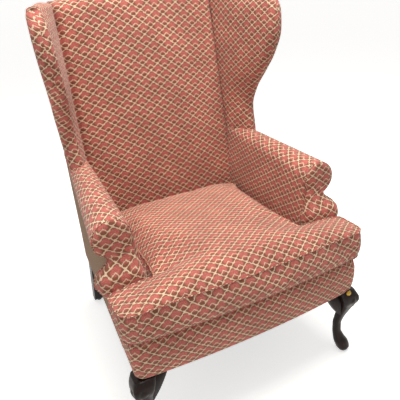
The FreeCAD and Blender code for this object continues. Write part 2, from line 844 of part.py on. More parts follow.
def back_webbing():
    """Upright and level strips of webbing in front of the posts."""
    strips = []
    wide = 50
    thin = 1.2
    low = size("rail_bottom") + size("rail_height") + 24
    high = size("post_top") - 40
    rise = size("post_top") - size("rail_bottom") - size("rail_height")
    angle = math.degrees(math.atan2(size("post_lean"), rise))
    base = Vector(0, post_face(low), low)
    tall = (high - low) / math.cos(math.radians(angle))
    for across in (-150, 0, 150):
        corner = Vector(across - wide / 2, base.y - 2 * thin - 0.4, low)
        strips.append(Part.makeBox(wide, thin, tall, corner))
    for share in (0.12, 0.42, 0.72):
        corner = Vector(-size("post_inner") + 0.5, base.y - thin - 0.2, low + tall * share)
        strips.append(Part.makeBox(2 * size("post_inner") - 1, thin, wide, corner))
    webbing = Part.makeCompound(strips)
    webbing.rotate(base, Vector(1, 0, 0), -angle)
    return webbing


feature("back_webbing", back_webbing())

# Seat: springs, deck and padded front border.


def deck_placement(lift):
    """The deck's plane: it falls towards the back at the cushion's slope."""
    pivot = Vector(0, size("frame_front"), size("seat_height") + lift)
    return Placement(pivot, Rotation(Vector(1, 0, 0), -size("deck_drop")))


def deck_sheet(lift, thick, half):
    """A level sheet of the deck between the arms, from the border to the back."""
    front = 62
    rear = 552
    sheet_box = block((-half, front, 0), (half, rear, thick))
    sheet_box.Placement = deck_placement(lift)
    return sheet_box


deck_half = size("arm_inside") - size("cloth") - 0.3
trim = arms.fuse(back_cover_shape).fuse(back_pad_shape)
feature("deck_hessian", largest(deck_sheet(-24, 1.0, deck_half).cut(trim)))
feature("deck_pad", largest(deck_sheet(-22.8, 19.6, deck_half).cut(trim)))
feature("deck_cover", largest(deck_sheet(-3.0, 1.6, deck_half).cut(trim)))


def spring_path(length, sway, turns):
    """A zigzag centre line of straight runs and half-round ends, level, along +Y."""
    pitch = length / turns
    radius = pitch / 2
    edges = []
    back = 0.0
    side = 1
    start = Vector(0, 0, 0)
    for turn in range(turns):
        stop = Vector(side * sway, back, 0)
        edges.append(line(start, stop))
        bend = Vector(side * (sway + radius * 0.9), back + radius, 0)
        start = Vector(side * sway, back + pitch, 0)
        edges.append(arc(stop, bend, start))
        back += pitch
        side = -side
    edges.append(line(start, Vector(0, back, 0)))
    return Part.Wire(edges)


SPRING_WIRE = 1.8
SPRING_PLACES = (-200, -100, 0, 100, 200)


def sinuous_springs():
    """Five zigzag springs from the front rail to the back rail."""
    springs = []
    for across in SPRING_PLACES:
        path = spring_path(612, 18, 17)
        ring = Part.Wire(Part.makeCircle(SPRING_WIRE, Vector(0, 0, 0), Vector(1, 0, 0)))
        tube = path.makePipeShell([ring], True, False)
        tube.Placement = Placement(Vector(across, 48, 0), Rotation())
        tube.Placement = deck_placement(-27.5).multiply(tube.Placement)
        springs.append(tube)
    return springs


springs = sinuous_springs()
feature("sinuous_springs", Part.makeCompound(springs))


def spring_clips():
    """A folded steel clip at each end of every spring, nailed on the rail."""
    clips = []
    for across in SPRING_PLACES:
        for near, far in ((24, 54), (654, 684)):
            clip = block((across - 9, near, -6), (across + 9, far, 3.4))
            clip.Placement = deck_placement(-27.5)
            clips.append(clip)
    return Part.makeCompound(clips)


clip_set = spring_clips().cut(Part.makeCompound(springs))
clip_set = clip_set.cut(front_rail.Shape).cut(back_rail.Shape)
feature("spring_clips", clip_set)


def border_outline(inset, rear):
    """Plan of the seat's front: bowed front edge, round corners and short returns."""
    half = size("front_half") - inset
    front = size("frame_front") + inset
    middle = front - size("front_bow")
    corner = 22
    slant = math.sqrt(0.5)
    east = Vector(half, front + corner, 0)
    west = Vector(-half, front + corner, 0)
    east_front = Vector(half - corner, front - 3, 0)
    west_front = Vector(-half + corner, front - 3, 0)
    bend = corner * (1 - slant)
    east_mid = Vector(half - bend, front + bend - 1.5, 0)
    west_mid = Vector(-half + bend, front + bend - 1.5, 0)
    return Part.Wire([
        line(Vector(-half, rear, 0), Vector(half, rear, 0)),
        line(Vector(half, rear, 0), east),
        arc(east, east_mid, east_front),
        arc(east_front, Vector(0, middle, 0), west_front),
        arc(west_front, west_mid, west),
        line(west, Vector(-half, rear, 0)),
    ])


def border_slab(inset, rear, low, high):
    """The border's plan raised between two heights."""
    slab = Part.Face(border_outline(inset, rear)).extrude(Vector(0, 0, high - low))
    slab.translate(Vector(0, 0, low))
    return slab


border_rear = size("arm_front") - 0.4
border_low = size("cover_bottom")
border_high = size("border_top")
border_outer = border_slab(0, border_rear, border_low, border_high)
border_inner = border_slab(size("cloth"), border_rear + 1, border_low - 1, border_high - 2)
border_core = border_slab(size("cloth") + 0.1, border_rear, border_low + 2, border_high - 2.2)
frame_room = border_slab(8.5, border_rear + 1, border_low - 1, size("stump_top") + 0.6)
tilt_cut = block((-deck_half - 0.5, 60, -60), (deck_half + 0.5, 700, 40))
tilt_cut.Placement = deck_placement(0)
spring_room = block((-deck_half, 44, -34), (deck_half, 61, -20))
spring_room.Placement = deck_placement(0)
border_cover_shape = border_outer.cut(border_inner).cut(tilt_cut)
border_pad_shape = border_core.cut(frame_room).cut(leg_shape).cut(flipped(leg_shape))
border_pad_shape = border_pad_shape.cut(front_rail.Shape).cut(tilt_cut).cut(spring_room)
border_pad_shape = border_pad_shape.cut(clip_set)
feature("front_border_cover", largest(border_cover_shape.cut(leg_shape).cut(flipped(leg_shape))))
feature("front_border_pad", largest(border_pad_shape))


def dust_cover():
    """A thin black cloth under the rails, cut round the legs."""
    low = size("cover_bottom") + 0.2
    high = size("rail_bottom") - 0.1
    front = size("frame_front") + 14
    rear = size("frame_rear") - 6
    inner = 292 - 34
    step = size("stump_y") + size("stump_size") / 2 + 34
    points = []
    right = [(inner, front), (inner, step), (side_x(step) - 22, step),
             (side_x(285) - 22, 285), (size("post_inner") - 4, 285), (size("post_inner") - 4, rear)]
    for across, back in right:
        points.append(Vector(across, back, low))
    for across, back in right[::-1]:
        points.append(Vector(-across, back, low))
    return prism(points, Vector(0, 0, high - low))


feature("dust_cover", dust_cover())

# Joints of the frame: dowels across each rail end, with holes in both members.

DOWEL_RADIUS = 5
DOWEL_REACH = 20


def dowel_places():
    """Centre and direction of every dowel, right side only."""
    low = size("rail_bottom")
    rows = (low + 58, low + 74)
    stump = size("stump_x") - size("stump_size") / 2
    places = []
    for height in rows:
        places.append((Vector(stump, size("frame_front") + 24, height), Vector(1, 0, 0)))
        middle = side_x(size("stump_y") + size("stump_size") / 2) - 8 - size("rail_thick") / 2
        rear_mid = side_x(ARM_REAR) - 8 - size("rail_thick") / 2
        front_y = size("stump_y") + size("stump_size") / 2
        places.append((Vector(middle, front_y, height), Vector(0, 1, 0)))
        rear_y = size("frame_rear") - size("post_depth")
        places.append((Vector(min(rear_mid, 286), rear_y, height), Vector(0, 1, 0)))
    post_x = size("post_inner")
    back_y = size("frame_rear") - 18
    for height in (low + 20, low + 44):
        places.append((Vector(post_x, back_y, height), Vector(1, 0, 0)))
    return places


def dowel_set():
    """All dowels as separate round pins."""
    pins = []
    for centre, direction in dowel_places():
        start = centre - direction * DOWEL_REACH
        pins.append(Part.makeCylinder(DOWEL_RADIUS, 2 * DOWEL_REACH, start, direction))
    pins += [flipped(pin) for pin in pins]
    return Part.makeCompound(pins)


dowels = dowel_set()
feature("frame_dowels", dowels)
feature("corner_block_screws", screw_set)


def glides():
    """A nailed plastic glide under every leg: a dome-edged disc on the floor."""
    radius = size("glide_radius")
    height = size("glide_height")
    places = []
    shift = LEG_STATIONS[-1][1] * math.sqrt(0.5)
    places.append((size("stump_x") + shift, size("stump_y") - shift))
    places.append((size("post_inner") + size("post_width") / 2,
                   (size("foot_front") + size("foot_rear")) / 2))
    discs = []
    for across, back in places:
        for side in (1, -1):
            disc = Part.makeCylinder(radius, height, Vector(side * across, back, 0))
            discs.append(disc.makeFillet(1.5, [disc.Edges[0], disc.Edges[2]]))
    return Part.makeCompound(discs)


feature("glides", glides())


def knee_tack():
    """A brass-headed tack where the border cover ends on the right knee."""
    centre = Vector(323, -373, 240)
    head = Part.makeSphere(9, centre + Vector(0, 7, 0))
    cap = head.common(block((300, -400, 225), (345, -367.4, 265)))
    return cap


tack = knee_tack().cut(border_outer).cut(leg_shape)
feature("knee_tack", largest(tack))

# Loose seat cushion: T-shaped, with ears in front of the arms.


def cushion_outline(inset, height):
    """Plan of the cushion in its own frame, drawn in by an inset, at a height."""
    ear = size("ear_half") - inset
    half = size("seat_half") - inset
    notch = size("ear_back") - inset
    rear = size("seat_depth") - inset
    front = inset
    middle = inset - size("seat_bow")
    corner = 42 - 1.2 * inset
    heel = 10
    slant = math.sqrt(0.5)
    bend = corner * (1 - slant)
    right = [
        Vector(ear - corner, front - 8, height), Vector(ear, front + corner, height),
        Vector(ear, notch - heel, height), Vector(ear - heel, notch, height),
        Vector(half + 8, notch, height), Vector(half, notch + 8, height),
        Vector(half, rear - 22, height), Vector(half - 22, rear, height),
    ]
    middles = {
        0: Vector(ear - bend, front + bend - 4, height),
        2: Vector(ear - heel * (1 - slant), notch - heel * (1 - slant), height),
        4: Vector(half + 8 * (1 - slant), notch + 8 * (1 - slant), height),
        6: Vector(half - 22 * (1 - slant), rear - 22 * (1 - slant), height),
    }
    edges = []
    for index in range(len(right) - 1):
        start, stop = right[index], right[index + 1]
        bent = index in middles
        edges.append(arc(start, middles[index], stop) if bent else line(start, stop))
    left = [Vector(-point.x, point.y, height) for point in right]
    edges.append(line(right[-1], left[-1]))
    for index in reversed(range(len(left) - 1)):
        start, stop = left[index + 1], left[index]
        if index in middles:
            bend_point = Vector(-middles[index].x, middles[index].y, height)
            edges.append(arc(start, bend_point, stop))
        else:
            edges.append(line(start, stop))
    edges.append(arc(left[0], Vector(0, middle, height), right[0]))
    return Part.Wire(edges)


CROWN_STATIONS = [
    # distance back, share of the crown's height, half width
    (-26, 0.15, 390), (4, 0.45, 390), (50, 0.75, 388), (115, 0.92, 372),
    (190, 1.0, 264), (320, 1.0, 262), (450, 0.94, 262), (535, 0.75, 262), (574, 0.5, 262),
]
BOXING_STATIONS = [
    # share of the boxing's height, how far the side is drawn in
    (0.0, 13), (0.18, 3), (0.5, 0), (0.82, 3), (1.0, 8),
]


def crown_wire(half, back, seam, rise):
    """A full, soft arch across the cushion: quick at the seams, flat in the middle."""
    west = Vector(-half, back, seam)
    east = Vector(half, back, seam)
    fall = 0.2 * half
    west_mid = Vector(-half + fall * 0.4, back, seam + rise * 0.44)
    east_mid = Vector(half - fall * 0.4, back, seam + rise * 0.44)
    west_top = Vector(-half + fall, back, seam + rise * 0.72)
    east_top = Vector(half - fall, back, seam + rise * 0.72)
    crest = Vector(0, back, seam + rise)
    return Part.Wire([line(east, west), arc(west, west_mid, west_top),
                      arc(west_top, crest, east_top), arc(east_top, east_mid, east)])


def cushion_solid(shrink):
    """The crowned cushion, or its inside when shrunk by the cover's thickness."""
    seam = size("boxing")
    wires = []
    for share, drawn in BOXING_STATIONS:
        height = max(seam * share, shrink)
        wires.append(cushion_outline(drawn + shrink, height))
    sides = loft(wires)
    sections = []
    for back, share, half in CROWN_STATIONS:
        rise = max(size("seat_crown") * share - shrink, 0.6)
        sections.append(crown_wire(half, back, seam, rise))
    crown = loft(sections)
    drawn = BOXING_STATIONS[-1][1]
    plan = Part.Face(cushion_outline(drawn + shrink, seam)).extrude(Vector(0, 0, 60))
    return largest(sides.fuse(crown.common(plan)).removeSplitter())


def zip_room(extra):
    """The slot in the rear boxing that holds the zip."""
    half = size("zip_length") / 2 + extra
    mid = size("boxing") / 2
    tall = size("zip_height") / 2 + extra
    rear = size("seat_depth")
    return block((-half, rear - size("zip_depth") - extra, mid - tall), (half, rear + 5, mid + tall))


def zip_strip():
    """Tape with a raised row of teeth down its middle."""
    half = size("zip_length") / 2 - 0.3
    mid = size("boxing") / 2
    tall = size("zip_height") / 2 - 0.3
    deep = size("seat_depth") - size("zip_depth") + 0.2
    tape = block((-half, deep, mid - tall), (half, deep + 1.2, mid + tall))
    teeth = block((-half, deep + 1.2, mid - 1.5), (half, deep + 2.2, mid + 1.5))
    return tape.fuse(teeth).removeSplitter()


def slider_body():
    """The zip's slider: a small saddle over the teeth, with its pull lying flat."""
    mid = size("boxing") / 2
    deep = size("seat_depth") - size("zip_depth") + 2.7
    left = -size("zip_length") / 2 + 3
    saddle = block((left, deep, mid - 3.6), (left + 9, deep + 1.4, mid + 3.6))
    pull = block((left + 2, deep + 1.4, mid - 1.8), (left + 20, deep + 2.2, mid + 1.8))
    return saddle.fuse(pull).removeSplitter()


overhang = Vector(0, size("seat_front") - size("frame_front"), 0)
cushion_placement = deck_placement(0).multiply(Placement(overhang, Rotation()))
outer_cushion = cushion_solid(0)
wall = size("cushion_wall")
cover_shell = largest(outer_cushion.cut(cushion_solid(wall)).cut(zip_room(0)))
core_solid = largest(cushion_solid(wall + 0.2).cut(zip_room(0.2)))
for name, shape in (("cushion_cover", cover_shell), ("cushion_core", core_solid),
                    ("cushion_zip", zip_strip()), ("zip_slider", slider_body())):
    item = feature(name, shape)
    item.Placement = cushion_placement

doc.recompute()

# Dowel and screw holes go through the finished members.


def drilled(item, tools):
    """Replace a board by the same board with its dowel and screw holes."""
    holes = doc.addObject("Part::Cut", item.Label + "_drilled")
    holes.Base = item
    holes.Tool = tools
    label = item.Label
    item.Label = label + "_blank"
    nodes.remove(item)
    return node(holes, label)


pins_feature = doc.addObject("Part::Feature", "hole_pattern")
pins_feature.Shape = Part.makeCompound(dowels.Solids + screw_set.Solids)
for item in [entry for entry in nodes if entry.Label in (
        "front_leg_right", "front_leg_left", "rear_leg_right", "rear_leg_left",
        "front_seat_rail", "back_seat_rail", "side_seat_rail_right", "side_seat_rail_left")]:
    drilled(item, pins_feature)

doc.recompute()

for item in doc.Objects:
    if "Invalid" in item.State or "Error" in item.State:
        raise RuntimeError("failed: " + item.Label)
bad = [item.Label for item in nodes
       if item.Shape.isNull() or not item.Shape.isValid() or not item.Shape.Solids]
if bad:
    raise RuntimeError("bad shapes: " + ", ".join(bad))

os.makedirs("parts", exist_ok=True)
for item in nodes:
    item.Shape.exportStep("parts/" + item.Label + ".step")

whole = FreeCAD.BoundBox()
for item in nodes:
    whole.add(item.Shape.BoundBox)
print(len(nodes), "nodes, size", whole.XLength, whole.YLength, whole.ZLength,
      "middle", whole.Center)
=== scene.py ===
"""Wingback armchair: covers, cushion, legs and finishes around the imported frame.

Metres, +Z up, the chair faces -Y. Sizes repeat the construction's own, in metres.
"""
import json
import math

import bmesh
import bpy
import numpy as np
from mathutils import Matrix, Vector
from mathutils.geometry import delaunay_2d_cdt


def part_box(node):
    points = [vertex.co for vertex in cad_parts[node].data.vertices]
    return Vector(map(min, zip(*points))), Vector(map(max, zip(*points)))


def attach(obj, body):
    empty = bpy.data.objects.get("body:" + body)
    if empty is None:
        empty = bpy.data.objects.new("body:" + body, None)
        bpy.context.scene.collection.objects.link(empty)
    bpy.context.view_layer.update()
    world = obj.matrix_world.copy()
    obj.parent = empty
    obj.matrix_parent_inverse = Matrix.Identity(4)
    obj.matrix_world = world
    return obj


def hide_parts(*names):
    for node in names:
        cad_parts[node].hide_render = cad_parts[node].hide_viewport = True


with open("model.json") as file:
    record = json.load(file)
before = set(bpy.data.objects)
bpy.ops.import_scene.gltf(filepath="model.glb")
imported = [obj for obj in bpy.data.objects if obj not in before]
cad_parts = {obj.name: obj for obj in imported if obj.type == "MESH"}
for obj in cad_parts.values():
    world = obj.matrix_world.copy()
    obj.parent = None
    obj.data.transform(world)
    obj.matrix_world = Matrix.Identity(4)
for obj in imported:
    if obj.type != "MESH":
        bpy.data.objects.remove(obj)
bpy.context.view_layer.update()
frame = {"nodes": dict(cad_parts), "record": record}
NODES = frame["nodes"]

bl_info = {
    "name": "Wingback armchair",
    "version": (1, 0, 0),
    "blender": (4, 5, 0),
    "location": "View3D > Sidebar > Chair",
    "description": "Builds the covers, cushion, legs and finishes of a wingback armchair",
    "category": "Object",
}

SIDES = ((1, "right"), (-1, "left"))

# Sizes shared with the construction: the seat frame,
FRONT_HALF, REAR_HALF = 0.349, 0.306
FRAME_FRONT, SIDE_FRONT, FRAME_REAR = -0.360, -0.335, 0.338
RAIL_LOW = 0.239
STUMP_X, STUMP_Y = 0.317, -0.327
# the back posts and the padded back,
POST_BEND, POST_TOP, POST_LEAN, POST_DEPTH = 0.329, 1.056, 0.050, 0.038
BACK_HALF, BACK_TOP, BACK_ARCH, BACK_CROWN = 0.262, 1.122, 0.018, 0.016
BACK_FACE, BACK_FACE_HEIGHT, BACK_SLOPE = 0.214, 0.471, 0.151
PAD_LOW = 0.350
# the arms, whose roll is thick in front and thin at the wing,
ARM_FRONT, ARM_INSIDE = -0.218, 0.2525
ARM_TOP, ARM_TOP_REAR = 0.618, 0.655
ROLL_FRONT, ROLL_REAR = 0.048, 0.022
ROLL_FRONT_X, ROLL_REAR_X = 0.320, 0.284
LIP_FRONT, LIP_REAR = -66, -18
# the cushion, the slope of its deck in degrees, and the covers.
SEAT_HEIGHT, SEAT_TILT = 0.361, 0.6
EAR_HALF, SEAT_HALF, EAR_BACK = 0.375, 0.247, 0.120
SEAT_DEPTH, SEAT_BOW = 0.570, 0.0234
COVER, PANEL, LINING = 0.0025, 0.003, 0.0016

# Spacing along its row, and size, of what repeats.
STITCHES = (0.007, (0.0011, 0.0011, 0.0036))
ZIP_TEETH = (0.0024, (0.0032, 0.0032, 0.0014))
STAPLES = (0.028, (0.0010, 0.0010, 0.0105))

# The seat's cloth lies a little slacker, so its repeat shows smaller than on the back.
SEAT_REPEAT = 1.08


class ChairSettings(bpy.types.PropertyGroup):
    """Sizes and colours that a user would change."""

    repeat_wide: bpy.props.FloatProperty(
        name="Repeat width", description="Width of one trellis diamond",
        default=0.050, unit="LENGTH")
    repeat_high: bpy.props.FloatProperty(
        name="Repeat height", description="Height of one trellis diamond",
        default=0.038, unit="LENGTH")
    seam_radius: bpy.props.FloatProperty(
        name="Seam radius", description="Half thickness of the rolled seams",
        default=0.0019, unit="LENGTH")
    cloth: bpy.props.FloatProperty(
        name="Cloth", description="Thickness of a cover", default=0.0022, unit="LENGTH")
    swell: bpy.props.FloatProperty(
        name="Cushion swell", description="Farthest that the filling may push the cushion's cover",
        default=0.024, unit="LENGTH")
    cream: bpy.props.StringProperty(
        name="Cream", description="Colour of the trellis lines, sRGB hex", default="#FBE4C8")
    rose: bpy.props.StringProperty(
        name="Rose", description="Colour of the motif, sRGB hex", default="#BA524E")
    ground: bpy.props.StringProperty(
        name="Ground", description="Colour of the ground between them, sRGB hex",
        default="#96593F")
    tan: bpy.props.StringProperty(
        name="Tan", description="Colour of the plain ribbed cloth, sRGB hex", default="#94693E")
    wood: bpy.props.StringProperty(
        name="Leg stain", description="Colour of the stained legs, sRGB hex", default="#120805")


def settings():
    """The sizes and colours in use."""
    return bpy.context.scene.chair_settings


def linear(text):
    """An sRGB hex colour as linear red, green, blue and one."""
    channels = []
    for start in (1, 3, 5):
        part = int(text[start:start + 2], 16) / 255
        channels.append(part / 12.92 if part <= 0.04045 else ((part + 0.055) / 1.055) ** 2.4)
    return (*channels, 1.0)


# Materials.


def add(tree, *inputs, kind, out=0, **values):
    """Add a node with its settings, and its inputs in order or by name, and give one output.

    An input is a number or a socket. The node itself comes back where out is None.
    """
    made = tree.nodes.new(kind)
    for key, setting in values.items():
        setattr(made, key, setting)
    if inputs and isinstance(inputs[0], dict):
        named = inputs[0]
    else:
        named = dict(enumerate(inputs))
    for key, source in named.items():
        socket = made.inputs[key]
        if isinstance(source, bpy.types.NodeSocket):
            tree.links.new(source, socket)
        else:
            socket.default_value = source
    return made if out is None else made.outputs[out]


# Settings that many nodes share.
SUM = {"kind": "ShaderNodeMath", "operation": "ADD"}
DIFFERENCE = {"kind": "ShaderNodeMath", "operation": "SUBTRACT"}
PRODUCT = {"kind": "ShaderNodeMath", "operation": "MULTIPLY"}
LARGER = {"kind": "ShaderNodeMath", "operation": "MAXIMUM"}
WITHOUT_SIGN = {"kind": "ShaderNodeMath", "operation": "ABSOLUTE"}
# A soft step from 0 at the first limit to 1 at the second.
STEP = {"kind": "ShaderNodeMapRange", "interpolation_type": "SMOOTHSTEP"}
# A mix of two colours, whose inputs are 0 for the share and 6 and 7 for the colours.
BLEND = {"kind": "ShaderNodeMix", "data_type": "RGBA", "out": 2}
NOISE = {"kind": "ShaderNodeTexNoise"}
WAVE = {"kind": "ShaderNodeTexWave", "out": 1}


def new_material(name, roughness, **sockets):
    """A material with its shader, constants set on the shader's own sockets."""
    material = bpy.data.materials.new(name)
    material.use_nodes = True
    tree = material.node_tree
    shader = tree.nodes["Principled BSDF"]
    shader.inputs["Roughness"].default_value = roughness
    for key, number in sockets.items():
        shader.inputs[key.replace("_", " ")].default_value = number
    return material, tree, shader


def dress(tree, shader, colour, height, strength, depth):
    """Give a shader its colour, and relief from a height that stands for depth in metres."""
    tree.links.new(colour, shader.inputs["Base Color"])
    bump = add(tree, {"Height": height, "Strength": strength, "Distance": depth},
               kind="ShaderNodeBump")
    tree.links.new(bump, shader.inputs["Normal"])


# The trellis figure, in shares of one diamond.
LINE_HALF = 0.056
LINE_WAVE = 0.024
LINE_BEND = 0.016
LINE_SOFT = 0.008
CHEVRON_AT = 0.48
CHEVRON_ROUND = 0.05
CHEVRON_HALF = (0.048, 0.030)
HEART = (0.56, 0.44)
HEART_BLOTCH = 0.22
HEART_REACH = (0.60, 0.38)
# How far a yarn strays, in metres.
YARN_STRAY = 0.0052


def trellis_fabric():
    """Woven brocade: cotton and wool, matte, with raised cream lines on a flat ground."""
    look = settings()
    material, tree, shader = new_material(
        "woven_trellis_brocade", 0.92, Sheen_Weight=0.18, Sheen_Roughness=0.5)
    chart = add(tree, kind="ShaderNodeUVMap", uv_map="cloth")
    grain = {}
    # cells in a metre, detail and roughness of each noise
    for name, scale, detail, rough in (("stray", 190.0, 2.0, 0.5), ("blotch", 95.0, 1.0, 0.5),
                                       ("fleck", 420.0, 2.0, 0.7), ("age", 9.0, 3.0, 0.5)):
        grain[name] = add(tree, {"Vector": chart, "Scale": scale, "Detail": detail,
                                 "Roughness": rough}, out=None, **NOISE).outputs
    fleck = grain["fleck"][0]
    # the yarns stray by about a millimetre, as on a real jacquard
    shift = add(tree, grain["stray"]["Color"], (0.5, 0.5, 0.5), kind="ShaderNodeVectorMath",
                operation="SUBTRACT")
    shift = add(tree, {0: shift, "Scale": YARN_STRAY}, kind="ShaderNodeVectorMath",
                operation="SCALE")
    place = add(tree, chart, shift, kind="ShaderNodeVectorMath", operation="ADD")
    # the two cell coordinates run from 0 to 1 along a diamond's two pairs of edges
    cell = []
    for sign in (1, -1):
        along = add(tree, place, (1 / look.repeat_wide, sign / look.repeat_high, 0),
                    kind="ShaderNodeVectorMath", operation="DOT_PRODUCT", out="Value")
        cell.append(add(tree, along, kind="ShaderNodeMath", operation="FRACT"))
    lines = []
    for own, other in (cell, cell[::-1]):
        # scalloped lines: thick where they cross and halfway along, thin beside each lobe
        wave = add(tree, add(tree, other, 4 * math.pi, **PRODUCT), kind="ShaderNodeMath",
                   operation="COSINE")
        half = add(tree, add(tree, wave, LINE_WAVE, **PRODUCT), LINE_HALF, **SUM)
        bend = add(tree, add(tree, other, 6 * math.pi, **PRODUCT), kind="ShaderNodeMath",
                   operation="SINE")
        bent = add(tree, own, add(tree, bend, LINE_BEND, **PRODUCT), **SUM)
        from_middle = add(tree, add(tree, bent, 0.5, **DIFFERENCE), **WITHOUT_SIGN)
        off = add(tree, 0.5, from_middle, **DIFFERENCE)
        lines.append(add(tree, half, off, **DIFFERENCE))
    line = add(tree, add(tree, *lines, **LARGER), -LINE_SOFT, LINE_SOFT, **STEP)
    # the chevron that parts the small lower diamond from the flower above it
    arms = (add(tree, cell[0], CHEVRON_AT, **DIFFERENCE),
            add(tree, 1 - CHEVRON_AT, cell[1], **DIFFERENCE))
    chevron = add(tree, *arms, CHEVRON_ROUND, kind="ShaderNodeMath", operation="SMOOTH_MAX")
    chevron = add(tree, add(tree, chevron, **WITHOUT_SIGN), *CHEVRON_HALF, **STEP)
    # the flower is rose in its heart and brown at the tips of its lobes
    squares = []
    for source, centre in zip(cell, HEART):
        apart = add(tree, source, centre, **DIFFERENCE)
        squares.append(add(tree, apart, apart, **PRODUCT))
    heart = add(tree, add(tree, *squares, **SUM), kind="ShaderNodeMath", operation="SQRT")
    heart = add(tree, heart, add(tree, grain["blotch"][0], HEART_BLOTCH, **PRODUCT), **SUM)
    flower = add(tree, heart, *HEART_REACH, **STEP)
    # each yarn colour is mixed with a paler or duller one, in flecks
    yarns = []
    for low, high, own, fleck_colour in ((0.35, 0.75, look.rose, "#DE9282"),
                                         (0.3, 0.7, look.ground, "#7E4E3A"),
                                         (0.3, 0.8, look.cream, "#D3AE88")):
        yarns.append(add(tree, {0: add(tree, fleck, low, high, **STEP), 6: linear(own),
                                7: linear(fleck_colour)}, **BLEND))
    rose, ground, cream = yarns
    colour = add(tree, {0: flower, 6: ground, 7: rose}, **BLEND)
    colour = add(tree, {0: chevron, 6: colour, 7: cream}, **BLEND)
    colour = add(tree, {0: line, 6: colour, 7: cream}, **BLEND)
    # wide patches are a little worn or faded
    worn = add(tree, {0: add(tree, grain["age"][0], 0.35, 0.7, **STEP),
                      6: (0.86, 0.84, 0.82, 1), 7: (1.06, 1.04, 1.02, 1)}, **BLEND)
    colour = add(tree, {0: 1.0, 6: colour, 7: worn}, blend_type="MULTIPLY", **BLEND)
    # raised figure and a weave drawn at 2.4 mm, coarse enough to show
    weave = add(tree, {"Vector": chart, "Scale": 130.0, "Distortion": 1.2},
                bands_direction="DIAGONAL", **WAVE)
    relief = add(tree, line, chevron, **LARGER)
    relief = add(tree, relief, add(tree, weave, 0.25, **PRODUCT), **SUM)
    relief = add(tree, relief, add(tree, flower, 0.4, **PRODUCT), **SUM)
    dress(tree, shader, colour, relief, 0.8, 0.0016)
    return material


def ribbed_fabric():
    """Plain ribbed upholstery cloth: matte, with level cords drawn 7 mm apart to show, and painted
    shade in the grooves between them.
    """
    material, tree, shader = new_material(
        "ribbed_cotton_tan", 0.94, Sheen_Weight=0.12, Sheen_Roughness=0.5)
    chart = add(tree, kind="ShaderNodeUVMap", uv_map="cloth")
    ribs = add(tree, {"Vector": chart, "Scale": 46.0, "Distortion": 1.5, "Detail": 2.0,
                      "Detail Scale": 3.0}, bands_direction="Y", **WAVE)
    slub = add(tree, {"Vector": chart, "Scale": 260.0, "Detail": 3.0}, **NOISE)
    # the grooves between the cords, low in the relief, take the darker brown: painted shade
    colour = add(tree, {0: ribs, 6: linear("#5E4128"), 7: linear(settings().tan)}, **BLEND)
    colour = add(tree, {0: add(tree, slub, 0.45, 0.8, **STEP), 6: colour,
                        7: linear("#A88A66")}, **BLEND)
    dress(tree, shader, colour, ribs, 0.5, 0.0010)
    return material


def plain_cloth(name, dark, light, scale, roughness=0.95):
    """A plain woven cloth that reads object coordinates: a fine crossed weave, with painted shade
    in the gaps between the threads.
    """
    material, tree, shader = new_material(name, roughness, Sheen_Weight=0.1)
    place = add(tree, kind="ShaderNodeTexCoord", out="Object")
    crossed = [add(tree, {"Vector": place, "Scale": scale, "Distortion": 1.0},
                   bands_direction=direction, **WAVE) for direction in ("X", "Y")]
    weave = add(tree, *crossed, **PRODUCT)
    # the gaps between the threads, low in the relief, take the dark colour: painted shade
    colour = add(tree, {0: weave, 6: linear(dark), 7: linear(light)}, **BLEND)
    dress(tree, shader, colour, weave, 0.4, 0.0008)
    return material


def wood(name, dark, light, roughness, coat, grain):
    """Straight-grained hardwood: streaks along Z with pores, under a coat of finish."""
    material, tree, shader = new_material(name, roughness, Coat_Weight=coat,
                                          Coat_Roughness=0.12, Specular_IOR_Level=0.18)
    place = add(tree, kind="ShaderNodeTexCoord", out="Object")
    # the grain is drawn out along Z
    place = add(tree, {"Vector": place, "Scale": (14.0, 14.0, 1.6)}, kind="ShaderNodeMapping")
    streak = add(tree, {"Vector": place, "Scale": grain, "Detail": 6.0, "Distortion": 0.6},
                 **NOISE)
    pores = add(tree, {"Vector": place, "Scale": grain * 9, "Detail": 2.0}, **NOISE)
    colour = add(tree, {0: add(tree, streak, 0.35, 0.68, **STEP), 6: linear(dark),
                        7: linear(light)}, **BLEND)
    colour = add(tree, {0: add(tree, pores, 0.62, 0.75, **STEP), 6: colour,
                        7: linear(dark)}, **BLEND)
    dress(tree, shader, colour, pores, 0.25, 0.0004)
    return material


def metal(name, colour, roughness, scale, metallic=1.0):
    """A metal, or a plastic with metallic 0, with fine drawing marks and small wear."""
    material, tree, shader = new_material(name, roughness, Metallic=metallic)
    place = add(tree, kind="ShaderNodeTexCoord", out="Object")
    marks = add(tree, {"Vector": place, "Scale": scale, "Detail": 4.0}, **NOISE)
    deep = tuple(part * 0.55 for part in linear(colour)[:3]) + (1.0,)
    made = add(tree, {0: add(tree, marks, 0.4, 0.7, **STEP), 6: linear(colour), 7: deep},
               **BLEND)
    dress(tree, shader, made, marks, 0.15, 0.0003)
    return material


FINISHES = {}


